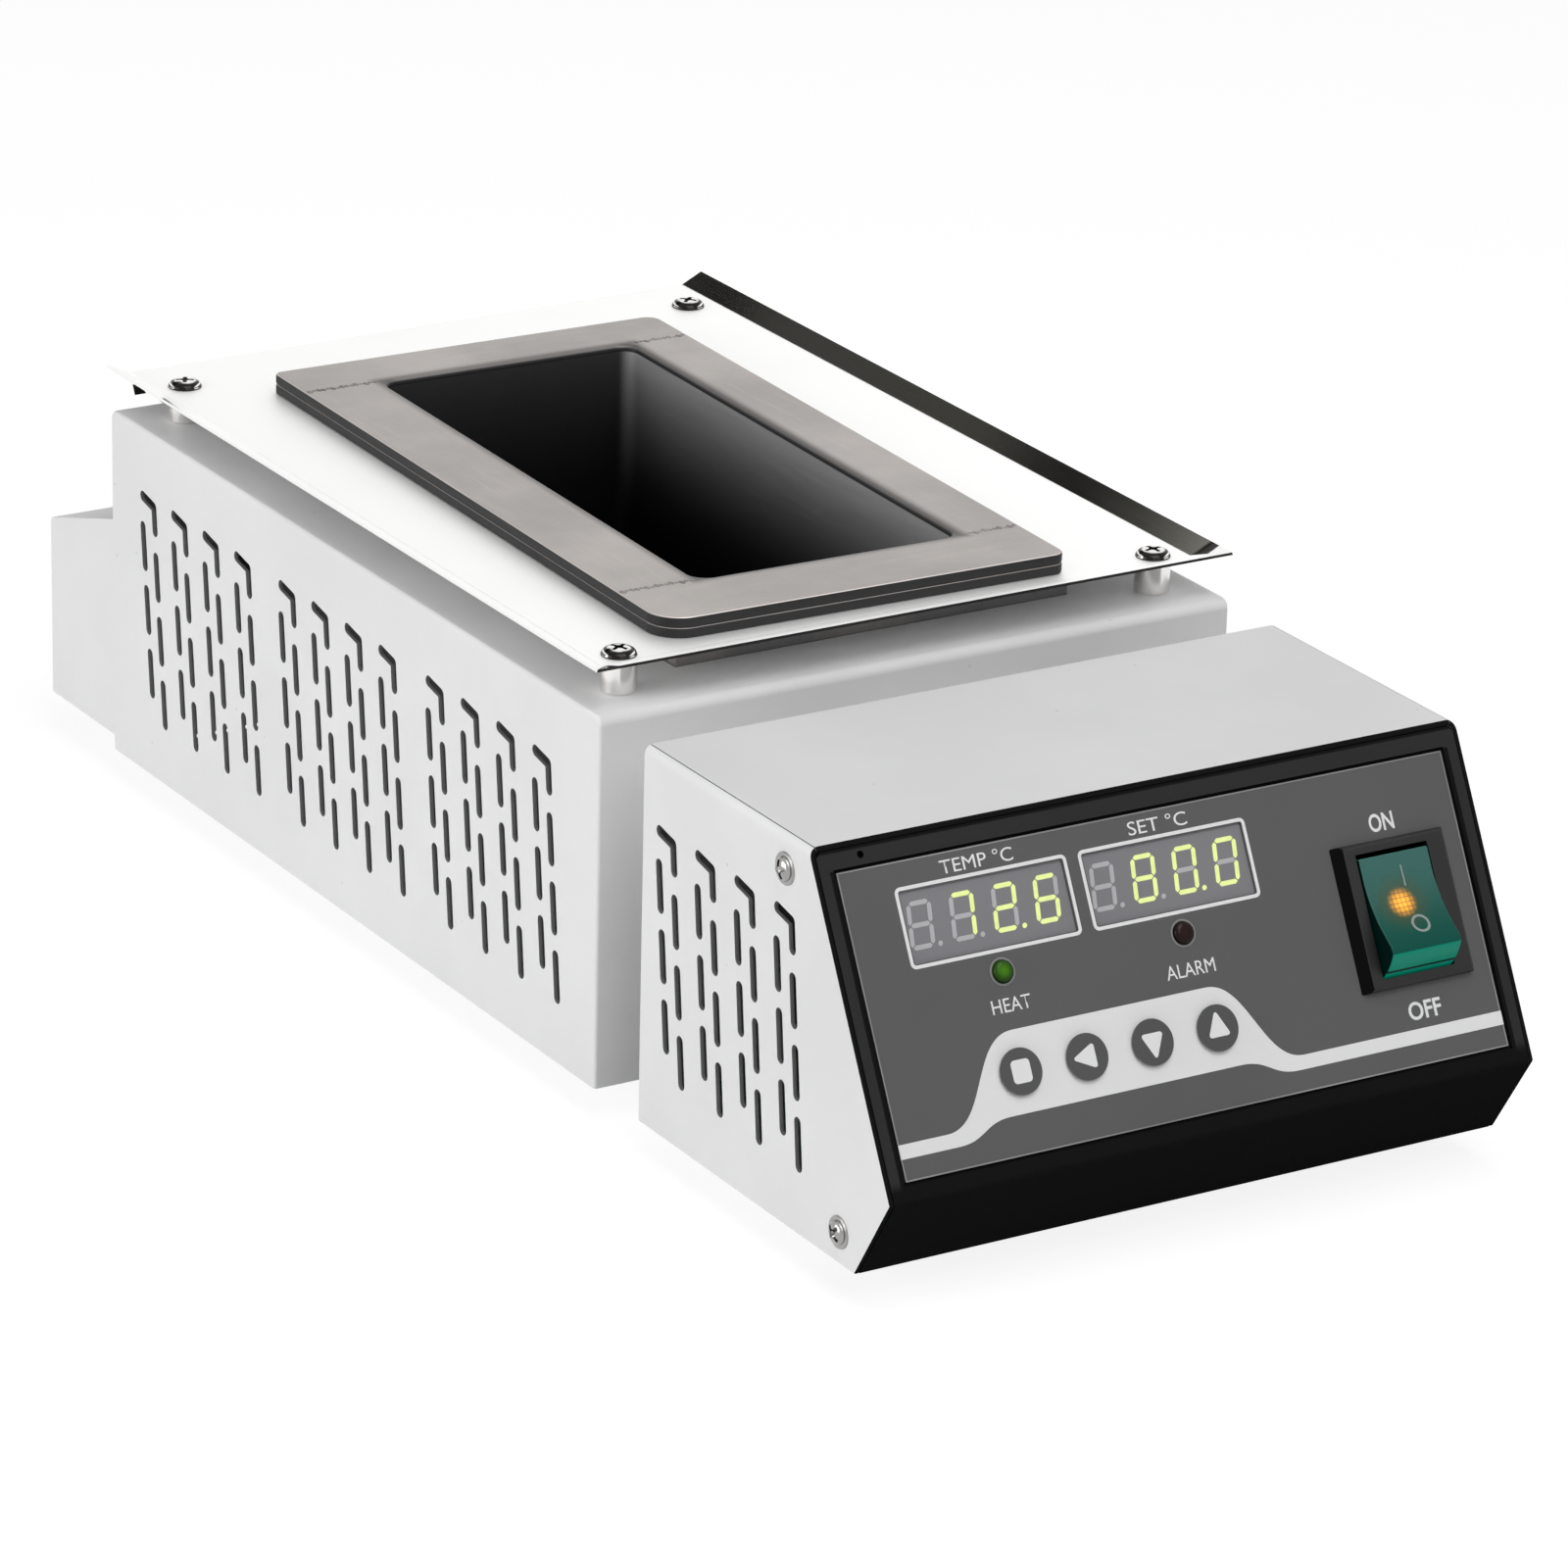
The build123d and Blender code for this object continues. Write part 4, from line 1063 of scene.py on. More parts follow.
class Finishes:
    """Every finish on the machine, by what it covers."""

    paint = PowderCoat("body_paint", "body_paint", (0.86, 0.86, 0.865), 0.45)
    # Painted shade: a mid grey for the slot walls, the sheets' inner faces and the seam, where shade falls.
    shadow = PowderCoat("painted_slot_shade", "body_paint", (0.30, 0.30, 0.303), 0.8, gloss=0.1)
    black_front = FrontMoulding(
        "front_black", "front_black", (0.012, 0.012, 0.0125), 0.4, 0.45, 0.3, gloss=0.0
    )
    mirror = PolishedSheet("tray_mirror", "tray_steel", (0.93, 0.928, 0.922), 0.06)
    plate = WeldedPlate("pot_plate", "pot_metal", (0.46, 0.43, 0.41), 0.42)
    weld = WeldBead("pot_weld", "pot_metal", (0.24, 0.22, 0.21), 0.48)
    black_screw = DarkPlating("screw_black", "screw_dark", (0.02, 0.019, 0.018), 0.12)
    bright_screw = BareMetal("screw_bright", "screw_bright", (0.34, 0.335, 0.33), 0.18, (1, 1, 1), 0.1)
    pillar = BareMetal("pillar_nickel", "pillar_metal", (0.84, 0.83, 0.81), 0.22, (1, 1, 0.06), 0.14)
    # Painted shade: the liner's steel is darkened to the grey of the shade it stands in, with stains.
    liner = BareMetal("liner_steel", "liner_steel", (0.2, 0.2, 0.2), 0.5, (1, 1, 0.05), 0.2, 0.05, stain=0.5)
    fibre = Fibre("ceramic_fibre", "fibre", (0.72, 0.70, 0.65), 0.95)
    cast = Moulded("heater_casting", "cast_heater", (0.16, 0.155, 0.15), 0.6, 1.2, 0.9, 0.25)
    ceramic = Moulded("white_ceramic", "ceramic", (0.72, 0.70, 0.66), 0.5, 0.8, 0.2, 0.06)
    overlay = Film("overlay_print", "overlay_film", (0.108, 0.108, 0.109), 0.45)
    band = Film("band_print", "band_white", (0.94, 0.94, 0.94), 0.4, 0.03)
    white_ink = Film("white_ink", "band_white", (0.95, 0.95, 0.95), 0.4, 0.03)
    faint_ink = Film("faint_ink", "band_white", (0.30, 0.36, 0.34), 0.4, 0.05)
    # Painted highlight: a light grey line along the overlay's edge and round the lamps.
    edge_highlight = Film("overlay_edge_highlight", "overlay_film", (0.30, 0.30, 0.30), 0.35, 0.6)
    key_film = Film("key_print", "key_film", (0.085, 0.085, 0.087), 0.4, 0.12)
    display = Film("display_face", "display_case", (0.245, 0.243, 0.258), 0.35, 0.08)
    dim_segment = Film("segment_dim", "display_case", (0.55, 0.55, 0.565), 0.35, 0.05)
    lit_segment = Glowing("segment_lit", "display_case", (0.06, 0.07, 0.03), 0.3, (0.86, 0.98, 0.36), 1.0)
    switch_side = Moulded("switch_side", "switch_black", (0.002, 0.002, 0.002), 0.35, gloss=0.04)
    switch_black = Moulded("switch_black", "switch_black", (0.011, 0.0105, 0.0105), 0.4, 0.4, 0.25)
    brass = BareMetal("contact_brass", "contact_brass", (0.72, 0.55, 0.28), 0.3, (1, 1, 1), 0.15)
    board = CircuitBoard("board_green", "board_green", (0.015, 0.10, 0.04), 0.35)
    moulded = Moulded("moulded_black", "moulded_black", (0.016, 0.016, 0.017), 0.5, 0.6, 0.3)
    core = BareMetal("core_steel", "core_steel", (0.35, 0.35, 0.36), 0.42, (1, 1, 0.02), 0.25)
    sink = BareMetal("sink_aluminium", "sink_aluminium", (0.72, 0.72, 0.73), 0.36, (1, 0.04, 1), 0.2)
    rubber = Moulded("foot_rubber", "foot_rubber", (0.018, 0.018, 0.018), 0.8, 0.5, 0.5)


@dataclass
class Frame:
    """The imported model: its nodes, and the sloping panel's own plane."""

    nodes: dict[str, bpy.types.Object]
    panel_top_y: float = -165.65
    panel_top_z: float = 93.6
    panel_setback: float = 34.6
    panel_drop: float = 65.6

    @property
    def tilt(self) -> float:
        """Angle of the panel from the vertical."""
        return atan2(self.panel_setback, self.panel_drop)

    @property
    def panel(self) -> Matrix:
        """Place of the panel: X across, Y up its slope from its top edge, Z out of its face."""
        across = Vector((1, 0, 0))
        up = Vector((0, sin(self.tilt), cos(self.tilt)))
        out = across.cross(up)
        turn = Matrix((across, up, out)).transposed().to_4x4()
        return Matrix.Translation((0, self.panel_top_y, self.panel_top_z)) @ turn

    def on_panel(self, x: float, drop: float, lift: float = 0.0) -> Vector:
        """A point of the panel: across, down from its top edge, out of its face."""
        return self.panel @ Vector((x, -drop, lift))

    def copy_of(self, node: str) -> Workpiece:
        """A merged copy of a node's mesh, in millimetres."""
        return Workpiece.from_node(self.nodes[node])

    def soften(self, node: str, name: str, finish: Finish, radius: float, segments: int = 2) -> None:
        """Puts a copy with softened edges in a CAD node's place.

        Args:
            node: The CAD node.
            name: The new piece's name.
            finish: Its finish.
            radius: Radius of its edges.
            segments: Number of facets round each edge.
        """
        self.copy_of(node).soften(radius, segments, 50).deliver(name, finish, replaces=(node,))

    def dress(self, finish: Finish, *names: str) -> None:
        """Gives CAD nodes a finish of their own."""
        for name in names:
            for slot in self.nodes[name].material_slots:
                slot.material = finish.material()
            LOG.info("%s keeps its CAD shape", name)


@dataclass
class Vents:
    """Vent pattern: pairs of leaning slot columns under a bent slot, cut through both side walls."""

    width: float = 2.6
    length: float = 12.1
    row_pitch: float = 15.4
    rows: int = 3
    pair_pitch: float = 15.95
    pairs: int = 4
    group_pitch: float = 69.8
    lean: float = 6.0
    top_z: float = 76.9
    arm_reach: float = 6.9
    arm_drop: float = 1.4
    arm_leg: float = 7.1
    rear_back: float = 1.1
    rear_drop: float = 6.5
    front_back: float = 7.7
    front_drop: float = 12.3
    through: float = 176.0
    roundness: float = 0.497

    def is_wall(self, at: Vector, normal: Vector, half_width: float, sheet: float) -> bool:
        """Whether a face is the wall of a slot or the inner side of the sheet.

        Args:
            at: The face's middle.
            normal: Its direction.
            half_width: Half of the box's width.
            sheet: Thickness of the box's sides.

        Returns:
            Whether it shows through the slots.
        """
        deep = half_width - sheet - SKIN < abs(at.x) < half_width - SKIN
        inner = deep and at.x * normal.x < 0 and abs(normal.x) > SQUARE
        return inner or (deep and abs(normal.x) < 1 - ALONG and at.z < self.top_z + self.width)

    def slot(self, length: float, middle: tuple[float, float], turn: float) -> Workpiece:
        """A round-ended slot right through the box.

        Args:
            length: Length over its round ends.
            middle: Its middle along and up.
            turn: Its turn about X from the upright, in degrees.

        Returns:
            The cutter.
        """
        cutter = Workpiece.block((self.through, self.width, length))
        cutter.round_edges(lambda _, line: abs(line.x) > ALONG, self.width * self.roundness, 6)
        return cutter.place(turned(turn, "X", (0, *middle)))

    def straight(self, y: float, z: float) -> Workpiece:
        """A straight slot from its top point."""
        lean = radians(self.lean)
        middle = (y - self.length / 2 * sin(lean), z - self.length / 2 * cos(lean))
        return self.slot(self.length, middle, -self.lean)

    def bent(self, y: float, z: float) -> Workpiece:
        """The bent slot at the head of a pair: a sloping arm, then a leg down."""
        lean = radians(self.lean)
        half = self.width / 2
        arm_length = hypot(self.arm_reach, self.arm_drop) + half
        slope = atan2(self.arm_drop, self.arm_reach)
        arm_middle = (y - arm_length / 2 * cos(slope), z - arm_length / 2 * sin(slope))
        arm = self.slot(arm_length, arm_middle, 90 + slope * 180 / pi)
        knee = (y - self.arm_reach, z - self.arm_drop)
        leg_length = self.arm_leg + half
        reach = self.arm_leg - leg_length / 2
        leg_middle = (knee[0] - reach * sin(lean), knee[1] - reach * cos(lean))
        return arm.unite(self.slot(leg_length, leg_middle, -self.lean))

    def pair(self) -> Workpiece:
        """A bent slot and its two staggered columns, from the origin."""
        slots = [self.bent(0, 0)]
        for row in range(self.rows):
            drop = row * self.row_pitch
            forward = drop * tan(radians(self.lean))
            slots.append(self.straight(-self.rear_back - forward, -self.rear_drop - drop))
            slots.append(self.straight(-self.front_back - forward, -self.front_drop - drop))
        return slots[0].join(*slots[1:])

    def cutter(self, first_y: float, groups: int) -> Workpiece:
        """All the slots of one box.

        Args:
            first_y: Place of the rearmost pair.
            groups: Number of groups of pairs.

        Returns:
            One mesh with every slot.
        """
        first = self.pair().place(Matrix.Translation((0, first_y, self.top_z)))
        copies = []
        for index in range(1, groups * self.pairs):
            group, pair = divmod(index, self.pairs)
            back = group * self.group_pitch + pair * self.pair_pitch
            copies.append(first.copy(Matrix.Translation((0, -back, 0))))
        return first.join(*copies)


@dataclass
class Furnace:
    """The vented furnace box, with its terminal cover and cable gland."""

    frame: Frame
    vents: Vents
    width: float = 160.0
    length: float = 231.4
    height: float = 85.2
    front_y: float = -80.45
    floor_z: float = 8.0
    sheet: float = 1.0
    bend: float = 2.3
    edge: float = 0.8
    lip: float = 9.0
    collar: tuple[float, float] = (100.8, 183.3)
    collar_y: float = 30.5
    lead_window: tuple[float, float] = (96.0, 46.0)
    lead_bottom: float = 7.0
    duct_window: tuple[float, float] = (46.0, 24.0)
    duct_bottom: float = 16.0
    cut_depth: float = 6.0
    overrun: float = 2.0
    vent_margin: float = 15.3
    vent_groups: int = 3
    cover_edge: float = 0.35

    @property
    def middle_y(self) -> float:
        """Middle of the box from front to rear."""
        return self.front_y + self.length / 2

    def folded_box(self, inset: float, bend: float, edge: float) -> Workpiece:
        """The outside of the folded box, or its inside when it is held back."""
        size = (self.width - 2 * inset, self.length - 2 * inset, self.height - inset)
        box = Workpiece.block(size, (0, self.middle_y, self.floor_z + size[2] / 2))
        top = self.floor_z + size[2]
        box.round_edges(lambda at, line: abs(line.x) > ALONG and at.z > top - SKIN, bend, 8)
        if edge:
            half = size[0] / 2
            box.round_edges(lambda at, _: abs(at.x) > half - SKIN and at.z > self.floor_z + SKIN, edge, 3)
        return box

    def window(self, size: tuple[float, float], bottom: float, y: float) -> Workpiece:
        """A cutter for a window in the front or rear wall."""
        middle = (0, y, self.floor_z + bottom + size[1] / 2)
        return Workpiece.block((size[0], self.cut_depth, size[1]), middle)

    def build(self) -> None:
        """Builds the folded shell with its round-ended vents."""
        shell = self.folded_box(0, self.bend, self.edge)
        cavity = self.folded_box(self.sheet, self.bend - self.sheet, 0)
        cavity.shift(Part.FACE, lambda _, normal: normal.z < -ALONG, (0, 0, -self.overrun))
        shell.carve(cavity)
        for side in (-1, 1):
            x = side * (self.width - self.lip - self.sheet) / 2
            size = (self.lip, self.length - 2 * self.sheet, self.sheet)
            shell.unite(Workpiece.block(size, (x, self.middle_y, self.floor_z + self.sheet / 2)))
        rear_y = self.front_y + self.length
        top = (0, self.collar_y, self.floor_z + self.height)
        shell.carve(
            Workpiece.block((*self.collar, 2 * self.cut_depth), top),
            self.window(self.lead_window, self.lead_bottom, rear_y),
            self.window(self.duct_window, self.duct_bottom, self.front_y),
            self.vents.cutter(rear_y - self.vent_margin, self.vent_groups),
        )
        shell.deliver(
            "furnace_box",
            Finishes.paint,
            replaces=("furnace_shell",),
            # The slot walls and the inner faces get painted shade.
            patches=((Finishes.shadow, self.in_slot),),
        )

    def in_slot(self, at: Vector, normal: Vector) -> bool:
        """Whether a face shows through the slots, which gets painted shade."""
        above_lips = at.z > self.floor_z + self.sheet
        return above_lips and self.vents.is_wall(at, normal, self.width / 2, self.sheet)

    def dress(self) -> None:
        """Softens the terminal cover and dresses the base and what is inside."""
        self.frame.soften("terminal_box", "terminal_cover", Finishes.paint, self.cover_edge)
        self.frame.dress(Finishes.paint, "furnace_base")
        self.frame.dress(Finishes.liner, "inner_liner", "liner_feet")
        self.frame.dress(Finishes.fibre, "insulation")
        self.frame.dress(Finishes.cast, "heater")
        self.frame.dress(Finishes.ceramic, "heater_bars", "terminal_block")
        self.frame.dress(Finishes.bright_screw, "temperature_probe")


@dataclass
class CableGland:
    """Cord entry on the rear wall: hexagon, ribbed neck and cord bore."""

    frame: Frame
    axis_x: float = 52.0
    axis_z: float = 32.0
    rear_y: float = 185.25
    neck_radius: float = 6.5
    ribs: int = 18
    rib: Point = (0.8, 7.0, 0.7)
    rib_y: float = 10.6
    edge: float = 0.3
    rib_edge: float = 0.2

    def build(self) -> None:
        """Softens the gland's edges and adds the grip ribs of its neck."""
        gland = self.frame.copy_of("cable_gland").soften(self.edge)
        centre = (self.axis_x, self.rear_y + self.rib_y, self.axis_z)
        rib = Workpiece.block(self.rib, (0, 0, self.neck_radius - SKIN)).soften(self.rib_edge)
        ribs = [rib.copy(turned(360 / self.ribs * index, "Y", centre)) for index in range(self.ribs)]
        rib.discard()
        gland.join(*ribs)
        gland.deliver("ribbed_gland", Finishes.moulded, replaces=("cable_gland",))


@dataclass
class PanScrew:
    """Domed screw with a cross recess and a thin washer rim, modelled once and copied."""

    head_radius: float
    dome_radius: float
    head_height: float = 1.7
    rim: float = 0.45
    stretch: float = 2.0
    shank_radius: float = 1.95
    recess: Point = (4.3, 0.9, 2.2)
    recess_floor: float = 0.55
    recess_round: float = 1.2
    dome_share: float = 0.92
    rim_share: float = 0.6
    dent_radius: float = 1.0
    sides: int = 40
    shank_sides: int = 16

    def build(self, shank: float) -> Workpiece:
        """One screw, head up, with its seat at the origin.

        Args:
            shank: Length of its shank.

        Returns:
            The screw.
        """
        rise = (self.head_height - self.rim / 2) * self.stretch
        dome = Workpiece.rod(self.dome_radius, rise, (0, 0, rise / 2), sides=self.sides)
        dome.round_edges(lambda at, _: at.z > rise - TOUCH, min(rise, self.dome_radius) * self.dome_share, 8)
        dome.place(Matrix.Translation((0, 0, self.rim / 2)) @ Matrix.Diagonal((1, 1, 1 / self.stretch, 1)))
        screw = Workpiece.rod(self.head_radius, self.rim, (0, 0, self.rim / 2), sides=self.sides)
        screw.round_edges(lambda at, _: at.z > self.rim - TOUCH, self.rim * self.rim_share, 3)
        screw.unite(dome)
        for turn in (0, 90):
            slot = Workpiece.block(self.recess)
            slot.round_edges(lambda at, line: abs(line.y) > ALONG and at.z < 0, self.recess_round, 3)
            screw.carve(slot.place(turned(turn, "Z", (0, 0, self.recess_floor + self.recess[2] / 2))))
        dent = (self.dent_radius, self.dent_radius, self.dent_radius)
        screw.carve(Workpiece.ball(dent, (0, 0, self.head_height - SKIN)))
        middle = (0, 0, SKIN - shank / 2)
        return screw.unite(
            Workpiece.rod(self.shank_radius, shank + 2 * SKIN, middle, sides=self.shank_sides)
        )

    def fit(self, shank: float, seats: Sequence[Matrix], name: str, finish: Finish, node: str) -> None:
        """Fits a copy of the screw to each seat.

        Args:
            shank: Length of the shanks.
            seats: The screws' places.
            name: Name of the screws, to which their numbers are added.
            finish: Their finish.
            node: The CAD node that they all stand for.
        """
        pattern = self.build(shank)
        for index, seat in enumerate(seats):
            replaced = (node,) if index == 0 else ()
            pattern.copy(seat).deliver(f"{name}_{index + 1}", finish, replaces=replaced)
        pattern.discard()


@dataclass
class DripTray:
    """Mirror-polished tray with turned-up sides and front, its pillars and its screws."""

    frame: Frame
    screw: PanScrew
    half_width: float = 75.0
    front_y: float = -71.35
    rear_y: float = 151.25
    top_z: float = 101.3
    sheet: float = 0.6
    side_reach: float = 5.5
    front_reach: float = 8.7
    rise: float = 2.7
    fold: float = 0.45
    apron: float = 5.6
    apron_inset: float = 1.2
    opening: tuple[float, float] = (80.0, 168.0)
    opening_y: float = 30.5
    hole_radius: float = 2.2
    hole_sides: int = 24
    edge: float = 0.12
    pillar_edge: float = 0.35
    pillar_x: float = 68.0
    pillar_ys: tuple[float, float] = (-67.45, 136.05)
    screw_turns: tuple[float, ...] = (24.0, 61.0, 8.0, 40.0)
    screw_length: float = 6.5

    def sheet_blank(self) -> Workpiece:
        """The tray's upper face, folded, before it has a thickness."""
        length = self.rear_y - self.front_y + self.front_reach
        size = (2 * (self.half_width + self.side_reach), length)
        tray = Workpiece.plate(size, (0, self.rear_y - length / 2, self.top_z))
        tray.bisect((self.half_width, 0, 0), (1, 0, 0), trim=False)
        tray.bisect((-self.half_width, 0, 0), (1, 0, 0), trim=False)
        tray.bisect((0, self.front_y, 0), (0, 1, 0), trim=False)
        edge_x, edge_y = self.half_width + TOUCH, self.front_y - TOUCH
        tray.shift(Part.VERT, lambda at, _: abs(at.x) > edge_x or at.y < edge_y, (0, 0, self.rise))
        tip_x, tip_y = self.half_width + self.side_reach, self.front_y - self.front_reach
        for side in (-1, 1):
            inner = Vector((side * self.half_width, self.front_y, self.top_z))
            outer = Vector((side * tip_x, tip_y, self.top_z + self.rise))
            with tray.editing(Part.VERT):
                tray.pick(Part.VERT, lambda at, _: min((at - inner).length, (at - outer).length) < NEAR)
                bpy.ops.mesh.vert_connect()
        limit = self.half_width - TOUCH
        tray.extrude_edges(
            lambda at, line: abs(line.x) > ALONG and at.y > self.rear_y - SKIN and abs(at.x) < limit,
            (0, 0, -self.apron),
        )
        tray.shift(Part.VERT, lambda at, _: at.z < self.top_z - 1 and at.x > 0, (-self.apron_inset, 0, 0))
        tray.shift(Part.VERT, lambda at, _: at.z < self.top_z - 1 and at.x < 0, (self.apron_inset, 0, 0))
        return tray

    def build(self) -> None:
        """Builds the tray."""
        tray = self.sheet_blank()
        side_x, front_y, bed_z = self.half_width, self.front_y, self.top_z + SKIN

        def on_side_fold(at: Vector, line: Vector) -> bool:
            """Whether an edge is the fold of a side flange."""
            return abs(abs(at.x) - side_x) < NEAR and abs(line.y) > SQUARE and at.z < bed_z

        def on_front_fold(at: Vector, line: Vector) -> bool:
            """Whether an edge is the fold of the front flange."""
            return abs(at.y - front_y) < NEAR and abs(line.x) > SQUARE and at.z < bed_z

        tray.round_edges(on_side_fold, self.fold, 3)
        tray.round_edges(on_front_fold, self.fold, 3)
        with tray.editing(Part.FACE):
            bpy.ops.mesh.select_all(action="SELECT")
            bpy.ops.mesh.normals_make_consistent(inside=False)
        tray.modify("SOLIDIFY", thickness=self.sheet, offset=self.solid_side(tray), use_even_offset=True)
        tray.carve(Workpiece.block((*self.opening, 8.0), (0, self.opening_y, self.top_z)))
        for x, y in self.fixings():
            tray.carve(Workpiece.rod(self.hole_radius, 6.0, (x, y, self.top_z), sides=self.hole_sides))
        tray.soften(self.edge, 2, 50)
        tray.deliver("polished_tray", Finishes.mirror, replaces=("drip_tray",))

    def solid_side(self, tray: Workpiece) -> float:
        """Which way Solidify must go for the sheet to lie under the upper face."""
        flat = max(tray.obj.data.polygons, key=lambda face: face.area)
        return -1.0 if flat.normal.z > 0 else 1.0

    def fixings(self) -> list[tuple[float, float]]:
        """The four fixing points."""
        return [(side * self.pillar_x, y) for side in (-1, 1) for y in self.pillar_ys]

    def dress(self) -> None:
        """Adds the four black screws and the pillars."""
        pairs = zip(self.fixings(), self.screw_turns)
        seats = [turned(turn, "Z", (x, y, self.top_z)) for (x, y), turn in pairs]
        self.screw.fit(self.screw_length, seats, "tray_screw", Finishes.black_screw, "tray_screws")
        self.frame.soften("tray_pillars", "tray_posts", Finishes.pillar, self.pillar_edge)


@dataclass
class Pot:
    """Welded bath with its flat rim, the loose frame under it and the weld beads.

    The beads' gaps are from the bath's side, the rim's side and the bath's end. Their wander and swell are
    pairs of a reach and a pace along the bead.
    """

    frame: Frame
    centre: tuple[float, float] = (-3.5, 27.25)
    turn: float = -1.4
    half_width: float = 50.5
    top_z: float = 106.1
    bath_half: tuple[float, float] = (32.75, 75.5)
    bath_shift: tuple[float, float] = (2.2, 2.0)
    mouth_round: float = 1.5
    edge: float = 0.45
    bead_pitch: float = 1.15
    bead: Point = (0.95, 1.35, 0.42)
    bead_sink: float = 0.3
    bead_gaps: Point = (1.8, 1.2, 0.4)
    wander: tuple[tuple[float, float], ...] = ((0.22, 2.1), (0.1, 5.3))
    swell: tuple[float, float] = (0.14, 3.7)

    @property
    def at(self) -> Matrix:
        """Place of the rim's middle on its top face."""
        return turned(self.turn, "Z", (*self.centre, self.top_z))

    def build(self) -> None:
        """Softens the plates' edges and rolls the bath's mouth."""
        pot = self.frame.copy_of("solder_pot")
        inverse = self.at.inverted()
        reach_x, reach_y = (half + 0.3 for half in self.bath_half)

        def on_mouth(at: Vector, _: Vector) -> bool:
            """Whether an edge lies on the bath's mouth."""
            local = (inverse @ at) - Vector((*self.bath_shift, 0))
            return abs(local.x) < reach_x and abs(local.y) < reach_y and abs(local.z) < NEAR

        pot.round_edges(on_mouth, self.mouth_round, 5)
        pot.soften(self.edge, 3, 50)
        pot.deliver("bath_and_rim", Finishes.plate, replaces=("solder_pot",))
        self.frame.soften("pot_frame", "rim_frame", Finishes.plate, self.edge, 3)

    def bead_line(self, start_x: float, end_x: float, y: float) -> Workpiece:
        """One weld bead across a side strip, as a chain of overlapping ripples.

        Args:
            start_x: Where it starts across the rim.
            end_x: Where it ends.
            y: Its place along the rim.

        Returns:
            The bead, on the rim's own plane.
        """
        count = max(2, round(abs(end_x - start_x) / self.bead_pitch))
        ripple = Workpiece.ball(self.bead)
        ripples = []
        for index in range(count):
            share = index / (count - 1)
            x = start_x + (end_x - start_x) * share
            wander = sum(reach * sin(index * pace) for reach, pace in self.wander)
            size = 1 + self.swell[0] * sin(index * self.swell[1])
            place = Matrix.Translation((x, y + wander, -self.bead_sink))
            ripples.append(ripple.copy(place @ Matrix.Scale(size, 4)))
        ripple.discard()
        return ripples[0].join(*ripples[1:])

    def dress(self) -> None:
        """Lays the four weld beads where the rim's strips meet."""
        lines = []
        from_bath, from_side, from_end = self.bead_gaps
        for end in (-1, 1):
            y = self.bath_shift[1] + end * (self.bath_half[1] + from_end)
            for side in (-1, 1):
                inner = self.bath_shift[0] + side * (self.bath_half[0] + from_bath)
                lines.append(self.bead_line(inner, side * (self.half_width - from_side), y))
        beads = lines[0].join(*lines[1:]).place(self.at)
        beads.deliver("rim_welds", Finishes.weld, smooth=80, flat_faces=False)


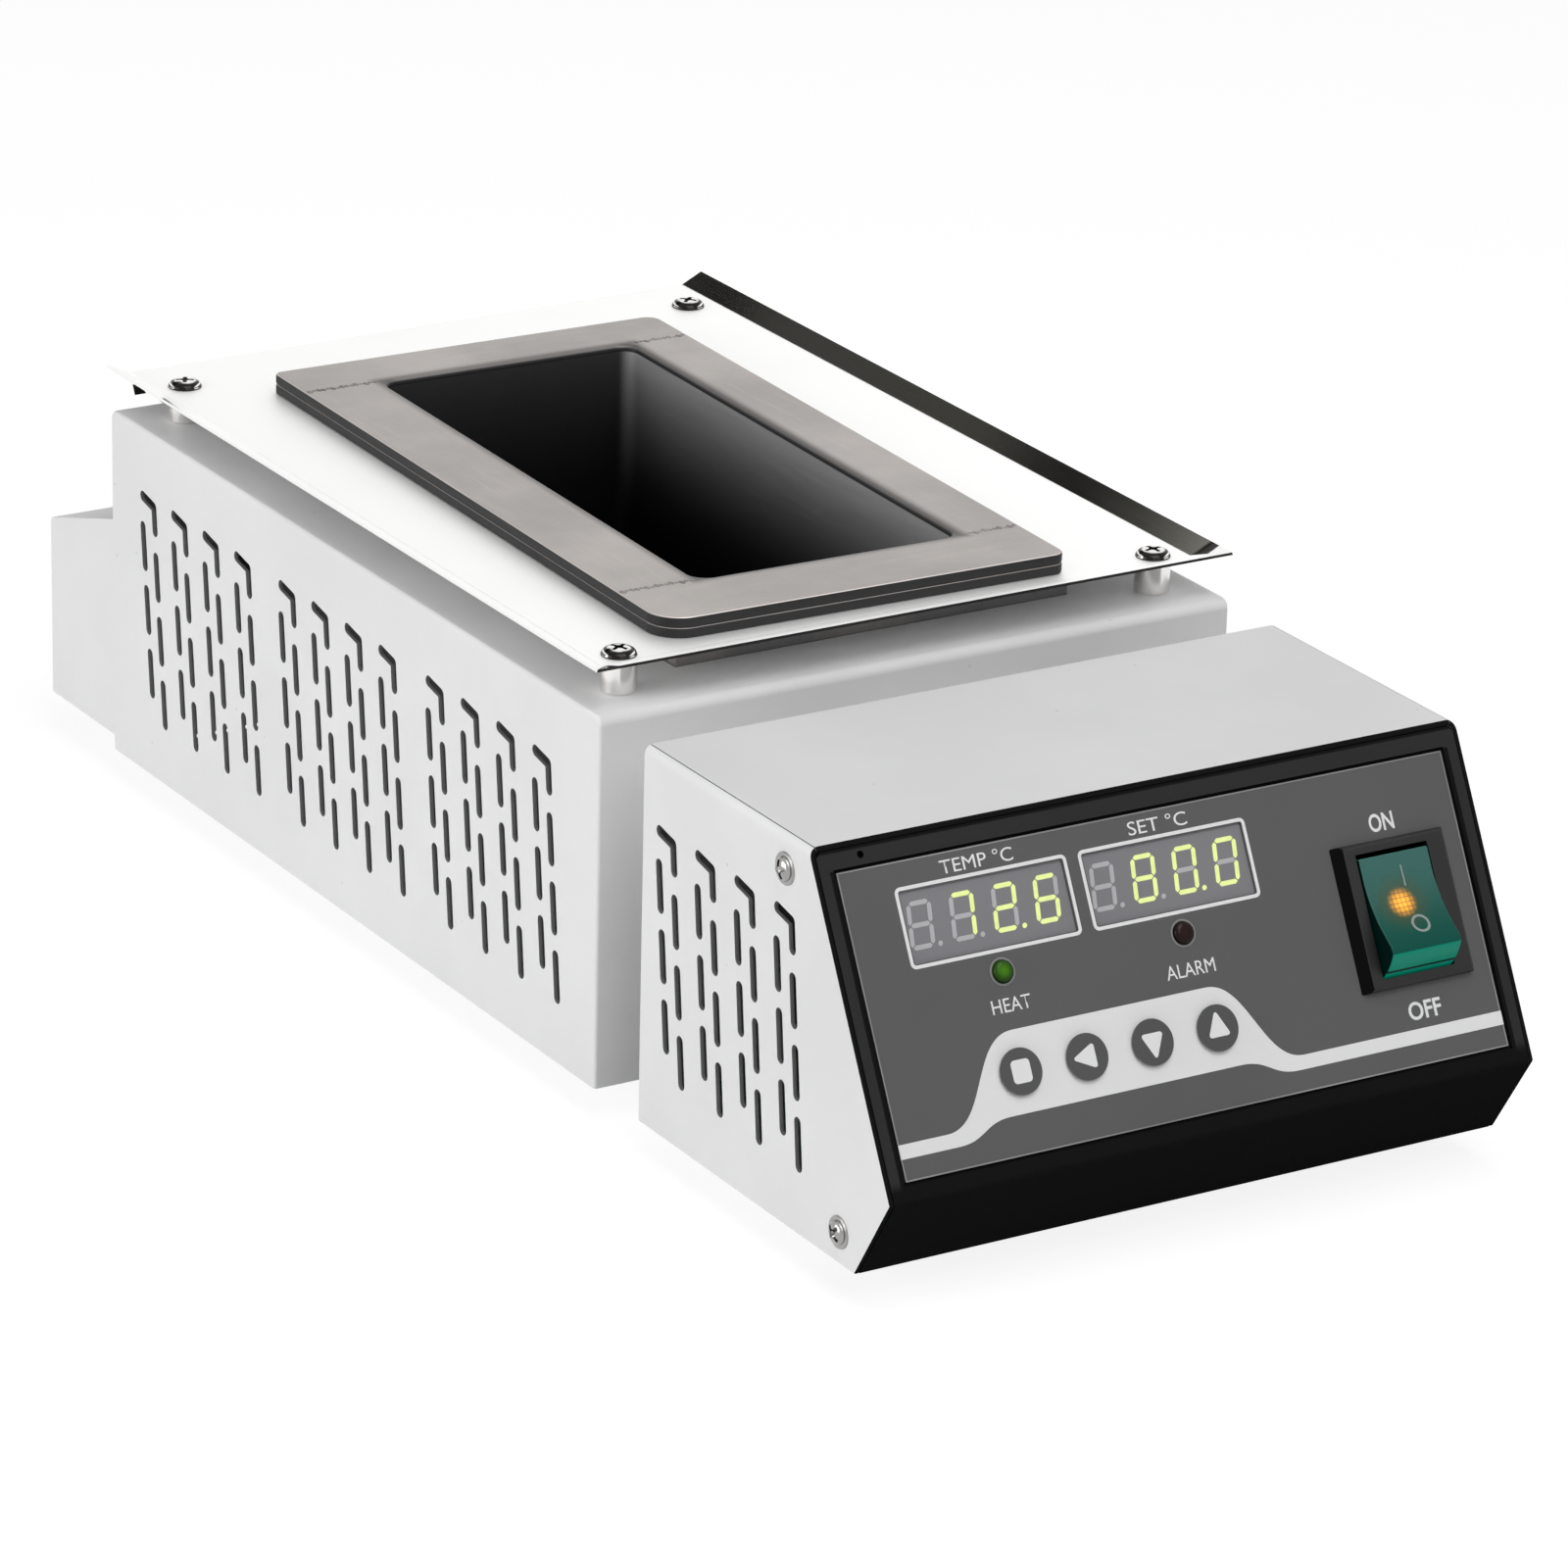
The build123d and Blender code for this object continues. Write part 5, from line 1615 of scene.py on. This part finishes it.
@dataclass
class ControlBox:
    """The vented control housing, its base, the duct and its side screws."""

    frame: Frame
    vents: Vents
    screw: PanScrew
    width: float = 160.0
    depth: float = 101.0
    height: float = 85.6
    nose_y: float = -200.25
    nose_z: float = 28.0
    floor_z: float = 8.0
    nose_undercut: float = 12.7
    sheet: float = 1.0
    bend: float = 2.2
    vent_margin: float = 5.7
    seam_x: float = 78.5
    seam: float = 0.2
    seam_depth: float = 0.6
    edge_depth: float = 0.3
    overrun: float = 4.0
    cut_edge: float = 0.25
    hole_radius: float = 2.2
    foot_edge: float = 0.6
    screw_points: tuple[tuple[float, float], ...] = ((-156.85, 86.2), (-181.15, 14.9))
    screw_turns: tuple[float, ...] = (18.0, 52.0, 33.0, 75.0)
    screw_length: float = 5.0

    @property
    def rear_y(self) -> float:
        """Rear of the box."""
        return self.nose_y + self.depth

    @property
    def foot_normal(self) -> Vector:
        """Direction that the face under the nose looks in."""
        return Vector((0, self.floor_z - self.nose_z, -self.nose_undercut)).normalized()

    def sleeve(self, inset: float, bend: float, overrun: float) -> Workpiece:
        """The folded sheet's outside, or its inside when it is held back.

        Args:
            inset: How far it is held back from the box's sides and top.
            bend: Radius of the two folds.
            overrun: How far it runs past the box's open sides.

        Returns:
            A solid block of that shape.
        """
        size = (self.width - 2 * inset, self.depth + 2 * overrun, self.height - inset + overrun)
        centre = (0, self.nose_y + self.depth / 2, self.floor_z - overrun + size[2] / 2)
        box = Workpiece.block(size, centre)
        top = self.floor_z - overrun + size[2]
        return box.round_edges(lambda at, line: abs(line.y) > ALONG and at.z > top - SKIN, bend, 6)

    def build(self) -> None:
        """Builds the folded housing, trims its sloping front and cuts its vents."""
        housing = self.sleeve(0, self.bend, 0)
        housing.carve(self.sleeve(self.sheet, self.bend - self.sheet, self.overrun))
        slope = self.frame.panel.to_3x3() @ Vector((0, 0, 1))
        housing.bisect((0, self.nose_y, self.nose_z), tuple(slope))
        housing.bisect((0, self.nose_y, self.nose_z), tuple(self.foot_normal))
        housing.soften(self.cut_edge, 2, 50)
        housing.carve(self.vents.cutter(self.rear_y - self.vent_margin, 1))
        for side in (-1, 1):
            groove = (side * self.seam_x, self.rear_y - self.depth / 2, self.floor_z + self.height)
            size = (self.seam, self.depth + 2 * self.overrun, 2 * self.seam_depth)
            housing.carve(Workpiece.block(size, groove))
            for y, z in self.screw_points:
                place = (side * self.width / 2, y, z)
                housing.carve(Workpiece.rod(self.hole_radius, 6.0, place, Axis.X, 20))
        housing.deliver(
            "control_cover",
            Finishes.paint,
            replaces=("control_housing",),
            # Slot walls, inner faces and the seam get painted shade; the sheet's front edge is painted black
            # as shade.
            patches=((Finishes.shadow, self.in_shade), (Finishes.black_front, self.on_front_edge)),
        )

    def on_front_edge(self, at: Vector, normal: Vector) -> bool:
        """Whether a face is on the front edge of the folded sheet, which is painted black as shade."""
        past_slope = (self.frame.panel.inverted() @ at).z
        past_foot = (at - Vector((0, self.nose_y, self.nose_z))).dot(self.foot_normal)
        return max(past_slope, past_foot) > -self.edge_depth and abs(normal.x) < 0.95

    def in_shade(self, at: Vector, normal: Vector) -> bool:
        """Whether a face shows through the slots or lies in the seam, where it gets painted shade."""
        near_top = at.z > self.floor_z + self.height - 1
        in_seam = near_top and abs(abs(at.x) - self.seam_x) < self.seam / 2 + NEAR
        behind = at.y < self.rear_y - 1 and at.z > self.floor_z + 1
        return in_seam or (behind and self.vents.is_wall(at, normal, self.width / 2, self.sheet))

    def dress(self) -> None:
        """Adds the bright side screws and dresses the base, the duct and what is inside."""
        places = [(side, y, z) for side in (-1, 1) for y, z in self.screw_points]
        seats = [
            turned(side * 90, "Y", (side * self.width / 2, y, z)) @ turned(turn, "Z")
            for (side, y, z), turn in zip(places, self.screw_turns)
        ]
        self.screw.fit(self.screw_length, seats, "side_screw", Finishes.bright_screw, "side_screws")
        self.frame.dress(Finishes.paint, "control_base", "wiring_duct")
        self.frame.dress(Finishes.board, "power_board", "display_board")
        self.frame.dress(Finishes.brass, "power_spacers", "board_spacers", "switch_blades")
        self.frame.dress(Finishes.core, "transformer")
        self.frame.dress(Finishes.moulded, "relay", "key_contacts", "lamp_seats")
        self.frame.dress(Finishes.sink, "heatsink")
        self.frame.soften("feet", "rubber_feet", Finishes.rubber, self.foot_edge)


class Symbol(Enum):
    """Mark on a key."""

    SET = "square"
    LEFT = "left"
    DOWN = "down"
    UP = "up"


@dataclass
class ControlPanel:
    """The black front with its printed overlay, windows, lamps, keys and captions."""

    frame: Frame
    overlay_face: float = -0.4
    overlay: tuple[float, float] = (149.8, 64.0)
    overlay_drop: float = 6.0
    ink: float = 0.05
    display_xs: tuple[float, float] = (-41.95, 2.35)
    display_drop: float = 19.85
    outline: tuple[float, float] = (41.4, 17.0)
    outline_width: float = 0.75
    outline_round: float = 1.3
    edge_highlight_width: float = 0.3
    lamp_drop: float = 32.4
    lamp_radius: float = 2.5
    lamp_rise: float = 1.3
    lamp_length: float = 5.0
    lamp_round: float = 1.25
    lamp_glint_ring: tuple[float, float] = (0.45, 0.4)
    key_xs: tuple[float, ...] = (-43.35, -27.25, -11.15, 4.95)
    key_drop: float = 53.1
    key_face: float = 0.62
    arrow_radius: float = 3.8
    arrow_share: float = 0.86
    arrow_round: float = 1.0
    square: tuple[float, float] = (4.5, 4.9)
    square_round: float = 0.9
    dimple: tuple[float, float] = (-68.6, 3.2)
    dimple_radius: float = 0.8
    front_edge: float = 0.5

    def build(self) -> None:
        """Softens the moulded front and frames the overlay with a painted highlight line along its edge."""
        front = self.frame.copy_of("front_frame").soften(self.front_edge, 3, 40)
        hole = Workpiece.rod(self.dimple_radius, 3.0, sides=24)
        place = Matrix.Translation((self.dimple[0], -self.dimple[1], 0))
        front.carve(hole.place(self.frame.panel @ place))
        front.deliver("moulded_front", Finishes.black_front, replaces=("front_frame",))
        self.frame.dress(Finishes.overlay, "panel_overlay")
        self.frame.dress(Finishes.band, "overlay_band")
        self.frame.dress(Finishes.display, "display_actual", "display_set")
        middle = (0, -self.overlay_drop - self.overlay[1] / 2, self.overlay_face)
        # A painted highlight along the overlay's edge.
        edge = Workpiece.plate(self.overlay, middle).hollow(self.edge_highlight_width).thicken(self.ink)
        edge.place(self.frame.panel).deliver("overlay_edge_highlight", Finishes.edge_highlight)

    def ink_piece(self, flat: Workpiece, name: str, finish: Finish, body: str = CASE) -> None:
        """Gives flat print its ink's thickness and puts it on the panel.

        Args:
            flat: The print, in the panel's own plane.
            name: The piece's name.
            finish: Its ink.
            body: The CAD body that it rides on.
        """
        flat.thicken(self.ink).place(self.frame.panel).deliver(name, finish, body)

    def outlines(self) -> None:
        """Prints the white outlines round the two windows."""
        for name, x in zip(("actual", "set"), self.display_xs):
            ring = Workpiece.plate(self.outline, (x, -self.display_drop, self.overlay_face))
            ring.round_corners(self.outline_round).hollow(self.outline_width)
            self.ink_piece(ring, f"window_outline_{name}", Finishes.white_ink)

    def captions(self) -> None:
        """Prints the plain captions of the windows, lamps and switch."""
        lines = (
            ("caption_temperature", "TEMP \N{DEGREE SIGN}C", 17.5, 3.0, (-42.2, 9.0), 0.0),
            ("caption_set_point", "SET \N{DEGREE SIGN}C", 14.5, 3.0, (2.1, 9.0), 0.0),
            ("caption_heat", "HEAT", 9.4, 2.9, (-41.6, 39.3), 0.0),
            ("caption_alarm", "ALARM", 12.0, 2.9, (2.2, 40.0), 0.0),
            ("caption_on", "ON", 6.2, 3.9, (56.2, 18.2), 0.02),
            ("caption_off", "OFF", 8.3, 3.9, (56.4, 58.6), 0.02),
        )
        for name, text, width, height, (x, drop), weight in lines:
            flat = Workpiece.words(text, width, height, (x, -drop, self.overlay_face), weight)
            self.ink_piece(flat, name, Finishes.white_ink)

    def lamps(self) -> None:
        """Models the two domed lamps, each with a painted highlight ring round it."""
        kinds = (
            ("lamp_heating", "green_lens", (0.004, 0.03, 0.0), (0.06, 0.22, 0.0), 0.8),
            ("lamp_alarm", "red_lens", (0.016, 0.003, 0.003), (0.03, 0.004, 0.004), 0.1),
        )
        for (node, slot, colour, heart, strength), x in zip(kinds, self.display_xs):
            top = self.overlay_face + self.lamp_rise
            middle = (x, -self.lamp_drop, top - self.lamp_length / 2)
            dome = Workpiece.rod(self.lamp_radius, self.lamp_length, middle, sides=40)
            dome.round_edges(lambda at, _: at.z > top - TOUCH, self.lamp_round, 7)
            dome.place(self.frame.panel)
            heart_at = self.frame.on_panel(x - 0.3, self.lamp_drop - 0.2, top - 0.5)
            light = (tuple(heart_at), self.lamp_radius, heart, strength)
            finish = Lens(f"{node}_lens", slot, colour, 0.18, *light)
            dome.deliver(f"{node}_dome", finish, replaces=(node,), smooth=60)
            # A painted highlight ring round each lamp.
            gap, width = self.lamp_glint_ring
            ring = Workpiece.disc(self.lamp_radius + gap, (x, -self.lamp_drop, self.overlay_face))
            self.ink_piece(ring.hollow(width), f"{node}_ring", Finishes.edge_highlight)

    def symbol(self, kind: Symbol) -> Workpiece:
        """A key's mark, flat, round its own middle."""
        if kind is Symbol.SET:
            return Workpiece.plate(self.square).round_corners(self.square_round)
        turns = {Symbol.LEFT: 90.0, Symbol.DOWN: 180.0, Symbol.UP: 0.0}
        mark = Workpiece.disc(self.arrow_radius, sides=3)
        mark.place(turned(turns[kind], "Z") @ Matrix.Diagonal((self.arrow_share, 1, 1, 1)))
        return mark.round_corners(self.arrow_round)

    def keys(self) -> None:
        """Dresses the round keys and prints their marks."""
        for kind, x in zip(Symbol, self.key_xs):
            node = f"key_{kind.name.lower()}"
            self.frame.dress(Finishes.key_film, node)
            mark = self.symbol(kind).place(Matrix.Translation((x, -self.key_drop, self.key_face)))
            self.ink_piece(mark, f"{node}_mark", Finishes.white_ink, node)


@dataclass
class Digits:
    """Seven-segment figures behind the two windows, whose lit segments go by their usual letters."""

    frame: Frame
    width: float = 4.9
    height: float = 9.0
    stroke: float = 1.0
    gap: float = 0.22
    slant: float = 7.0
    pitch: float = 10.17
    first_x: float = -16.05
    drop: float = 19.6
    face: float = -0.9
    depth: float = 0.06
    point_radius: float = 0.55
    point_gap: float = 1.7
    tip: float = 0.45

    def segment(self, letter: str) -> Workpiece:
        """One segment with pointed ends, in a figure centred on the origin."""
        upright = letter in "bcef"
        length = (self.height / 2 if upright else self.width) - 2 * self.gap
        flat = Workpiece.plate((length, self.stroke))
        flat.round_corners(self.stroke * self.tip, 1)
        half_width, half_height = self.width / 2, self.height / 2
        middles = {
            "a": (0, half_height),
            "b": (half_width, half_height / 2),
            "c": (half_width, -half_height / 2),
            "d": (0, -half_height),
            "e": (-half_width, -half_height / 2),
            "f": (-half_width, half_height / 2),
            "g": (0, 0),
        }
        return flat.place(turned(90 if upright else 0, "Z", (*middles[letter], 0)))

    def build(self, reading: str, point_after: int, display_x: float, name: str) -> None:
        """Shows one reading.

        Args:
            reading: Its four figures, blank where none is lit.
            point_after: Index of the figure whose point is lit.
            display_x: Middle of the window.
            name: Name of the window.
        """
        lean = Matrix.Identity(4)
        lean[0][1] = tan(radians(self.slant))
        sets: dict[bool, list[Workpiece]] = {True: [], False: []}
        for index, figure in enumerate(reading):
            x = display_x + self.first_x + index * self.pitch
            place = Matrix.Translation((x, -self.drop, self.face)) @ lean
            for letter in "abcdefg":
                segment = self.segment(letter)
                segment.obj.data.transform(place)
                sets[letter in SEGMENTS[figure]].append(segment)
            if index < len(reading) - 1:
                middle = (self.width / 2 + self.point_gap, -self.height / 2, 0)
                point = Workpiece.disc(self.point_radius, middle, 20)
                point.obj.data.transform(place)
                sets[index == point_after].append(point)
        for is_lit, finish in ((True, Finishes.lit_segment), (False, Finishes.dim_segment)):
            group = sets[is_lit]
            figures = group[0].join(*group[1:]).thicken(self.depth).place(self.frame.panel)
            figures.deliver(f"figures_{name}_{'lit' if is_lit else 'dim'}", finish)


@dataclass
class RockerSwitch:
    """Black bezel and the tinted rocker with its marks."""

    frame: Frame
    x: float = 55.8
    drop: float = 37.4
    pivot: float = -4.2
    rest_turn: float = 14.0
    face: float = 6.3
    bezel_width: float = 28.1
    bezel_top: float = 1.8
    bezel_height: float = 2.2
    bezel_slope: float = 2.1
    upper_end: float = 12.3
    lower_corner: tuple[float, float] = (-10.82, 9.19)
    corner_shift: Point = (0.0, 1.2, -0.3)
    corner_reach: float = 0.4
    valley_round: float = 6.0
    bezel_edge: float = 0.25
    rocker_edge: float = 0.4
    ink: float = 0.03
    ink_lift: float = 0.04
    stroke: tuple[float, float] = (0.4, 4.6)
    stroke_x: float = 1.0
    stroke_y: float = 5.4
    ring_radius: float = 2.2
    ring_width: float = 0.6
    ring_x: float = 1.0
    ring_y: float = -5.6
    hot_spot: tuple[float, float] = (-1.2, -0.2)

    @property
    def at(self) -> Matrix:
        """Place of the rocker's pivot at rest: Y towards its upper end, Z out of its face."""
        return self.frame.panel @ turned(-self.rest_turn, "X", (self.x, -self.drop, self.pivot))

    @property
    def crease(self) -> float:
        """Distance from the pivot to the bottom of the V face."""
        return self.face / cos(radians(self.rest_turn))

    def half_face(self, y: float, lift: float = 0.02) -> Matrix:
        """Place on one half of the rocker's face."""
        side = 1 if y > 0 else -1
        turn = side * self.rest_turn
        height = self.crease + abs(y) * tan(radians(self.rest_turn)) + lift
        return self.at @ turned(turn, "X", (0, y, height))

    def build(self) -> None:
        """Softens the bezel and hollows the rocker's face."""
        panel = self.frame.panel
        inverse = panel.inverted()
        side = -(self.bezel_width / 2 - self.bezel_slope)
        slope = Vector((-self.bezel_height, 0, self.bezel_slope)).normalized()
        corner = panel @ Vector((self.x + side, -self.drop, self.bezel_top))
        normal = panel.to_3x3() @ slope
        bezel = self.frame.copy_of("switch_body").bisect(tuple(corner), tuple(normal))
        bezel.soften(self.bezel_edge, 2, 40)
        bezel.deliver(
            "switch_bezel",
            Finishes.switch_black,
            replaces=("switch_body",),
            patches=((Finishes.switch_side, lambda at, _: (inverse @ at).x < self.x + side + SKIN),),
        )
        rocker = self.frame.copy_of("rocker")
        corner = Vector((0, *self.lower_corner))
        rocker.shift(
            Part.VERT,
            lambda at, _: ((self.at.inverted() @ at) - corner).yz.length < self.corner_reach,
            tuple(self.at.to_3x3() @ Vector(self.corner_shift)),
        )
        valley = self.at @ Vector((0, 0, self.crease))
        rocker.round_edges(
            lambda at, line: abs(line.x) > ALONG and (at - valley).length < 0.5, self.valley_round, 8
        )
        end = self.at @ turned(self.rest_turn, "X") @ Vector((0, self.upper_end, 0))
        upwards = panel.to_3x3() @ Vector((0, 1, 0))
        rocker.bisect(tuple(end), tuple(upwards))
        rocker.soften(self.rocker_edge, 3, 50)
        stroke = Workpiece.plate(self.stroke, (self.stroke_x, 0, 0)).place(self.half_face(self.stroke_y))
        self.mark(stroke, rocker, "rocker_mark_on")
        ring = Workpiece.disc(self.ring_radius, (self.ring_x, 0, 0)).hollow(self.ring_width)
        self.mark(ring.place(self.half_face(self.ring_y)), rocker, "rocker_mark_off")
        hot = self.at @ Vector((*self.hot_spot, self.crease))
        tilt = 90 - self.frame.tilt * 180 / pi - self.rest_turn
        finish = RockerLens("rocker_lens", "rocker_green", (0.002, 0.085, 0.062), 0.28, tuple(hot), -tilt)
        rocker.deliver("tinted_rocker", finish, "rocker", ("rocker",))

    def mark(self, flat: Workpiece, rocker: Workpiece, name: str) -> None:
        """Lays a flat mark on the rocker's face and gives it its ink.

        Args:
            flat: The mark, near its place.
            rocker: The rocker, in millimetres.
            name: The mark's name.
        """
        flat.modify(
            "SHRINKWRAP",
            target=rocker.obj,
            wrap_method="NEAREST_SURFACEPOINT",
            wrap_mode="ABOVE_SURFACE",
            offset=self.ink_lift,
        )
        flat.thicken(self.ink).deliver(name, Finishes.faint_ink, "rocker")


@dataclass
class Studio:
    """Camera, lamps, floor and surroundings.

    Attributes:
        eye: The camera's place, in metres.
        azimuth: Its direction round the object, in degrees.
        elevation: Its height above the horizon, in degrees.
        roll: Its turn about its own axis, in degrees.
        focal_pixels: Its focal length in pixels of a frame 1600 wide.
        frame_pixels: Width of that frame.
        sensor: Width of its sensor, in millimetres.
        sky: Strength of the surroundings on the object.
        rig: Each lamp's name, place in metres and power in watts.
        lamp_size: Side of each square lamp, in metres.
        aim: The point that the lamps face.
        card_place: Middle of the black card behind the object, in metres.
        card_size: Its width and height, in metres.
        card_tones: Height on the card, in metres, and how light it looks there.
        floor_size: Side of the floor, in metres.
        floor_grey: How light the floor is to the light on it.
        floor_glow: How bright its white is to the camera.
        floor_share: How much of that white shows over the floor's own shade.
    """

    eye: Point = (-0.840482, -1.397622, 0.668176)
    azimuth: float = -31.476
    elevation: float = 21.171
    roll: float = 1.373
    focal_pixels: float = 7873.211
    frame_pixels: float = 1600.0
    sensor: float = 36.0
    sky: float = 0.15
    rig: tuple[tuple[str, Point, float], ...] = (
        ("left_lamp", (-1.6, 0.2, 0.25), 19.0),
        ("front_lamp", (0.0, -1.15, 1.35), 8.0),
        ("top_lamp", (0.0, -0.6, 1.7), 9.8),
    )
    lamp_size: float = 1.2
    aim: Point = (0, 0, 0.05)
    card_place: Point = (-0.16, 1.5, 1.4)
    card_size: tuple[float, float] = (1.3, 0.9)
    card_tones: tuple[tuple[float, float], ...] = (
        (1.03, 0.022),
        (1.058, 0.010),
        (1.085, 0.047),
        (1.225, 0.050),
        (1.262, 0.018),
        (1.292, 0.007),
        (1.318, 0.034),
        (1.340, 0.042),
        (1.354, 0.095),
        (1.370, 0.125),
        (1.388, 0.26),
    )
    floor_size: float = 12.0
    floor_grey: float = 0.8
    floor_glow: float = 1.25
    floor_share: float = 0.7

    def camera(self) -> None:
        """Sets the camera as the photograph was taken."""
        around, rise, roll = (radians(angle) for angle in (self.azimuth, self.elevation, self.roll))
        back = Vector((sin(around) * cos(rise), -cos(around) * cos(rise), sin(rise)))
        level = Vector((cos(around), sin(around), 0))
        above = back.cross(level)
        right = level * cos(roll) + above * sin(roll)
        up = above * cos(roll) - level * sin(roll)
        data = bpy.data.cameras.new("camera")
        data.sensor_width = self.sensor
        data.lens = self.focal_pixels / self.frame_pixels * data.sensor_width
        data.clip_start, data.clip_end = 0.05, 50.0
        camera = bpy.data.objects.new("camera", data)
        camera.matrix_world = Matrix.Translation(self.eye) @ Matrix((right, up, back)).transposed().to_4x4()
        bpy.context.collection.objects.link(camera)
        bpy.context.scene.camera = camera

    def lamps(self) -> None:
        """Lights the object softly from its left, its front and above."""
        for name, place, power in self.rig:
            data = bpy.data.lights.new(name, "AREA")
            data.size = self.lamp_size
            data.energy = power
            lamp = bpy.data.objects.new(name, data)
            turn = (Vector(self.aim) - Vector(place)).to_track_quat("-Z", "Y").to_matrix().to_4x4()
            lamp.matrix_world = Matrix.Translation(place) @ turn
            bpy.context.collection.objects.link(lamp)

    def card(self) -> None:
        """A black card behind the object that only shows in its polished faces."""
        clear_selection()
        bpy.ops.mesh.primitive_plane_add(size=1, location=self.card_place, rotation=(pi / 2, 0, 0))
        card = bpy.context.object
        card.name = "black_card"
        card.scale = (*self.card_size, 1)
        shader, material = Shader.for_material("card_black")
        _, height, _ = shader.split(shader.place())
        folds = height + (shader.noise(3, 2) - 0.5) * 0.02
        first, last = self.card_tones[0][0], self.card_tones[-1][0]
        span = last - first
        level = (folds * self.card_size[1] + self.card_place[2] - first) / span
        warmth = Vector((1, 0.98, 0.88))
        stops = [((at - first) / span, tuple(warmth * tone)) for at, tone in self.card_tones]
        tones = shader.wire("ShaderNodeValToRGB", {"stops": stops}, {0: level})
        shader.surface(
            Base_Color=(0, 0, 0, 1),
            Roughness=0.9,
            Specular_IOR_Level=0.0,
            Emission_Color=tones,
            Emission_Strength=1.0,
        )
        card.data.materials.append(material)
        card.visible_camera = card.visible_diffuse = card.visible_shadow = False

    def surroundings(self) -> None:
        """White surroundings for the camera and for reflections, softer on the object."""
        world = bpy.data.worlds.new("studio")
        bpy.context.scene.world = world
        world.use_nodes = True
        shader = Shader(world.node_tree)
        rays = shader.node("ShaderNodeLightPath")
        kinds = ("Is Camera Ray", "Is Glossy Ray", "Is Transmission Ray")
        camera, glossy, through = (Wire(shader, rays.outputs[kind]) for kind in kinds)
        shows = camera.most(glossy).most(through)
        strength = shows * (1 - self.sky) + self.sky
        sky = shader.wire("ShaderNodeBackground", None, {"Color": (1, 1, 1, 1), "Strength": strength})
        shader.node("ShaderNodeOutputWorld", None, {0: sky})

    def floor(self) -> None:
        """A plain white floor that keeps the object's soft shadow."""
        clear_selection()
        bpy.ops.mesh.primitive_plane_add(size=self.floor_size)
        floor = bpy.context.object
        floor.name = "floor"
        shader, material = Shader.for_material("floor_white")
        rays = shader.node("ShaderNodeLightPath")
        seen = Wire(shader, rays.outputs["Is Camera Ray"]).most(Wire(shader, rays.outputs["Is Glossy Ray"]))
        grey = (self.floor_grey, self.floor_grey, self.floor_grey, 1)
        paper = shader.wire("ShaderNodeBsdfDiffuse", None, {"Color": grey})
        glow = {"Color": (1, 1, 1, 1), "Strength": self.floor_glow}
        white = shader.wire("ShaderNodeEmission", None, glow)
        mixed = shader.wire("ShaderNodeMixShader", None, {0: seen * self.floor_share, 1: paper, 2: white})
        shader.node("ShaderNodeOutputMaterial", None, {0: mixed})
        floor.data.materials.append(material)

    def build(self) -> None:
        """Sets the whole studio."""
        self.camera()
        self.lamps()
        self.card()
        self.surroundings()
        self.floor()
        bpy.context.scene.view_settings.view_transform = "Standard"


def main() -> None:
    """Builds the scene, one sub-assembly after another."""
    logging.basicConfig(level=logging.INFO, format="%(name)s: %(message)s")
    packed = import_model()
    Studio().build()
    frame = Frame(packed["nodes"])
    vents = Vents()
    furnace = Furnace(frame, vents)
    furnace.build()
    furnace.dress()
    CableGland(frame).build()
    tray = DripTray(frame, PanScrew(3.95, 3.85))
    tray.build()
    tray.dress()
    pot = Pot(frame)
    pot.build()
    pot.dress()
    control = ControlBox(frame, vents, PanScrew(3.6, 2.7))
    control.build()
    control.dress()
    panel = ControlPanel(frame)
    panel.build()
    panel.outlines()
    panel.captions()
    panel.lamps()
    panel.keys()
    digits = Digits(frame)
    for reading, x, name in zip((" 726", " 800"), panel.display_xs, ("actual", "set")):
        digits.build(reading, 2, x, name)
    switch = RockerSwitch(frame)
    switch.build()


if __name__ == "__main__":
    main()
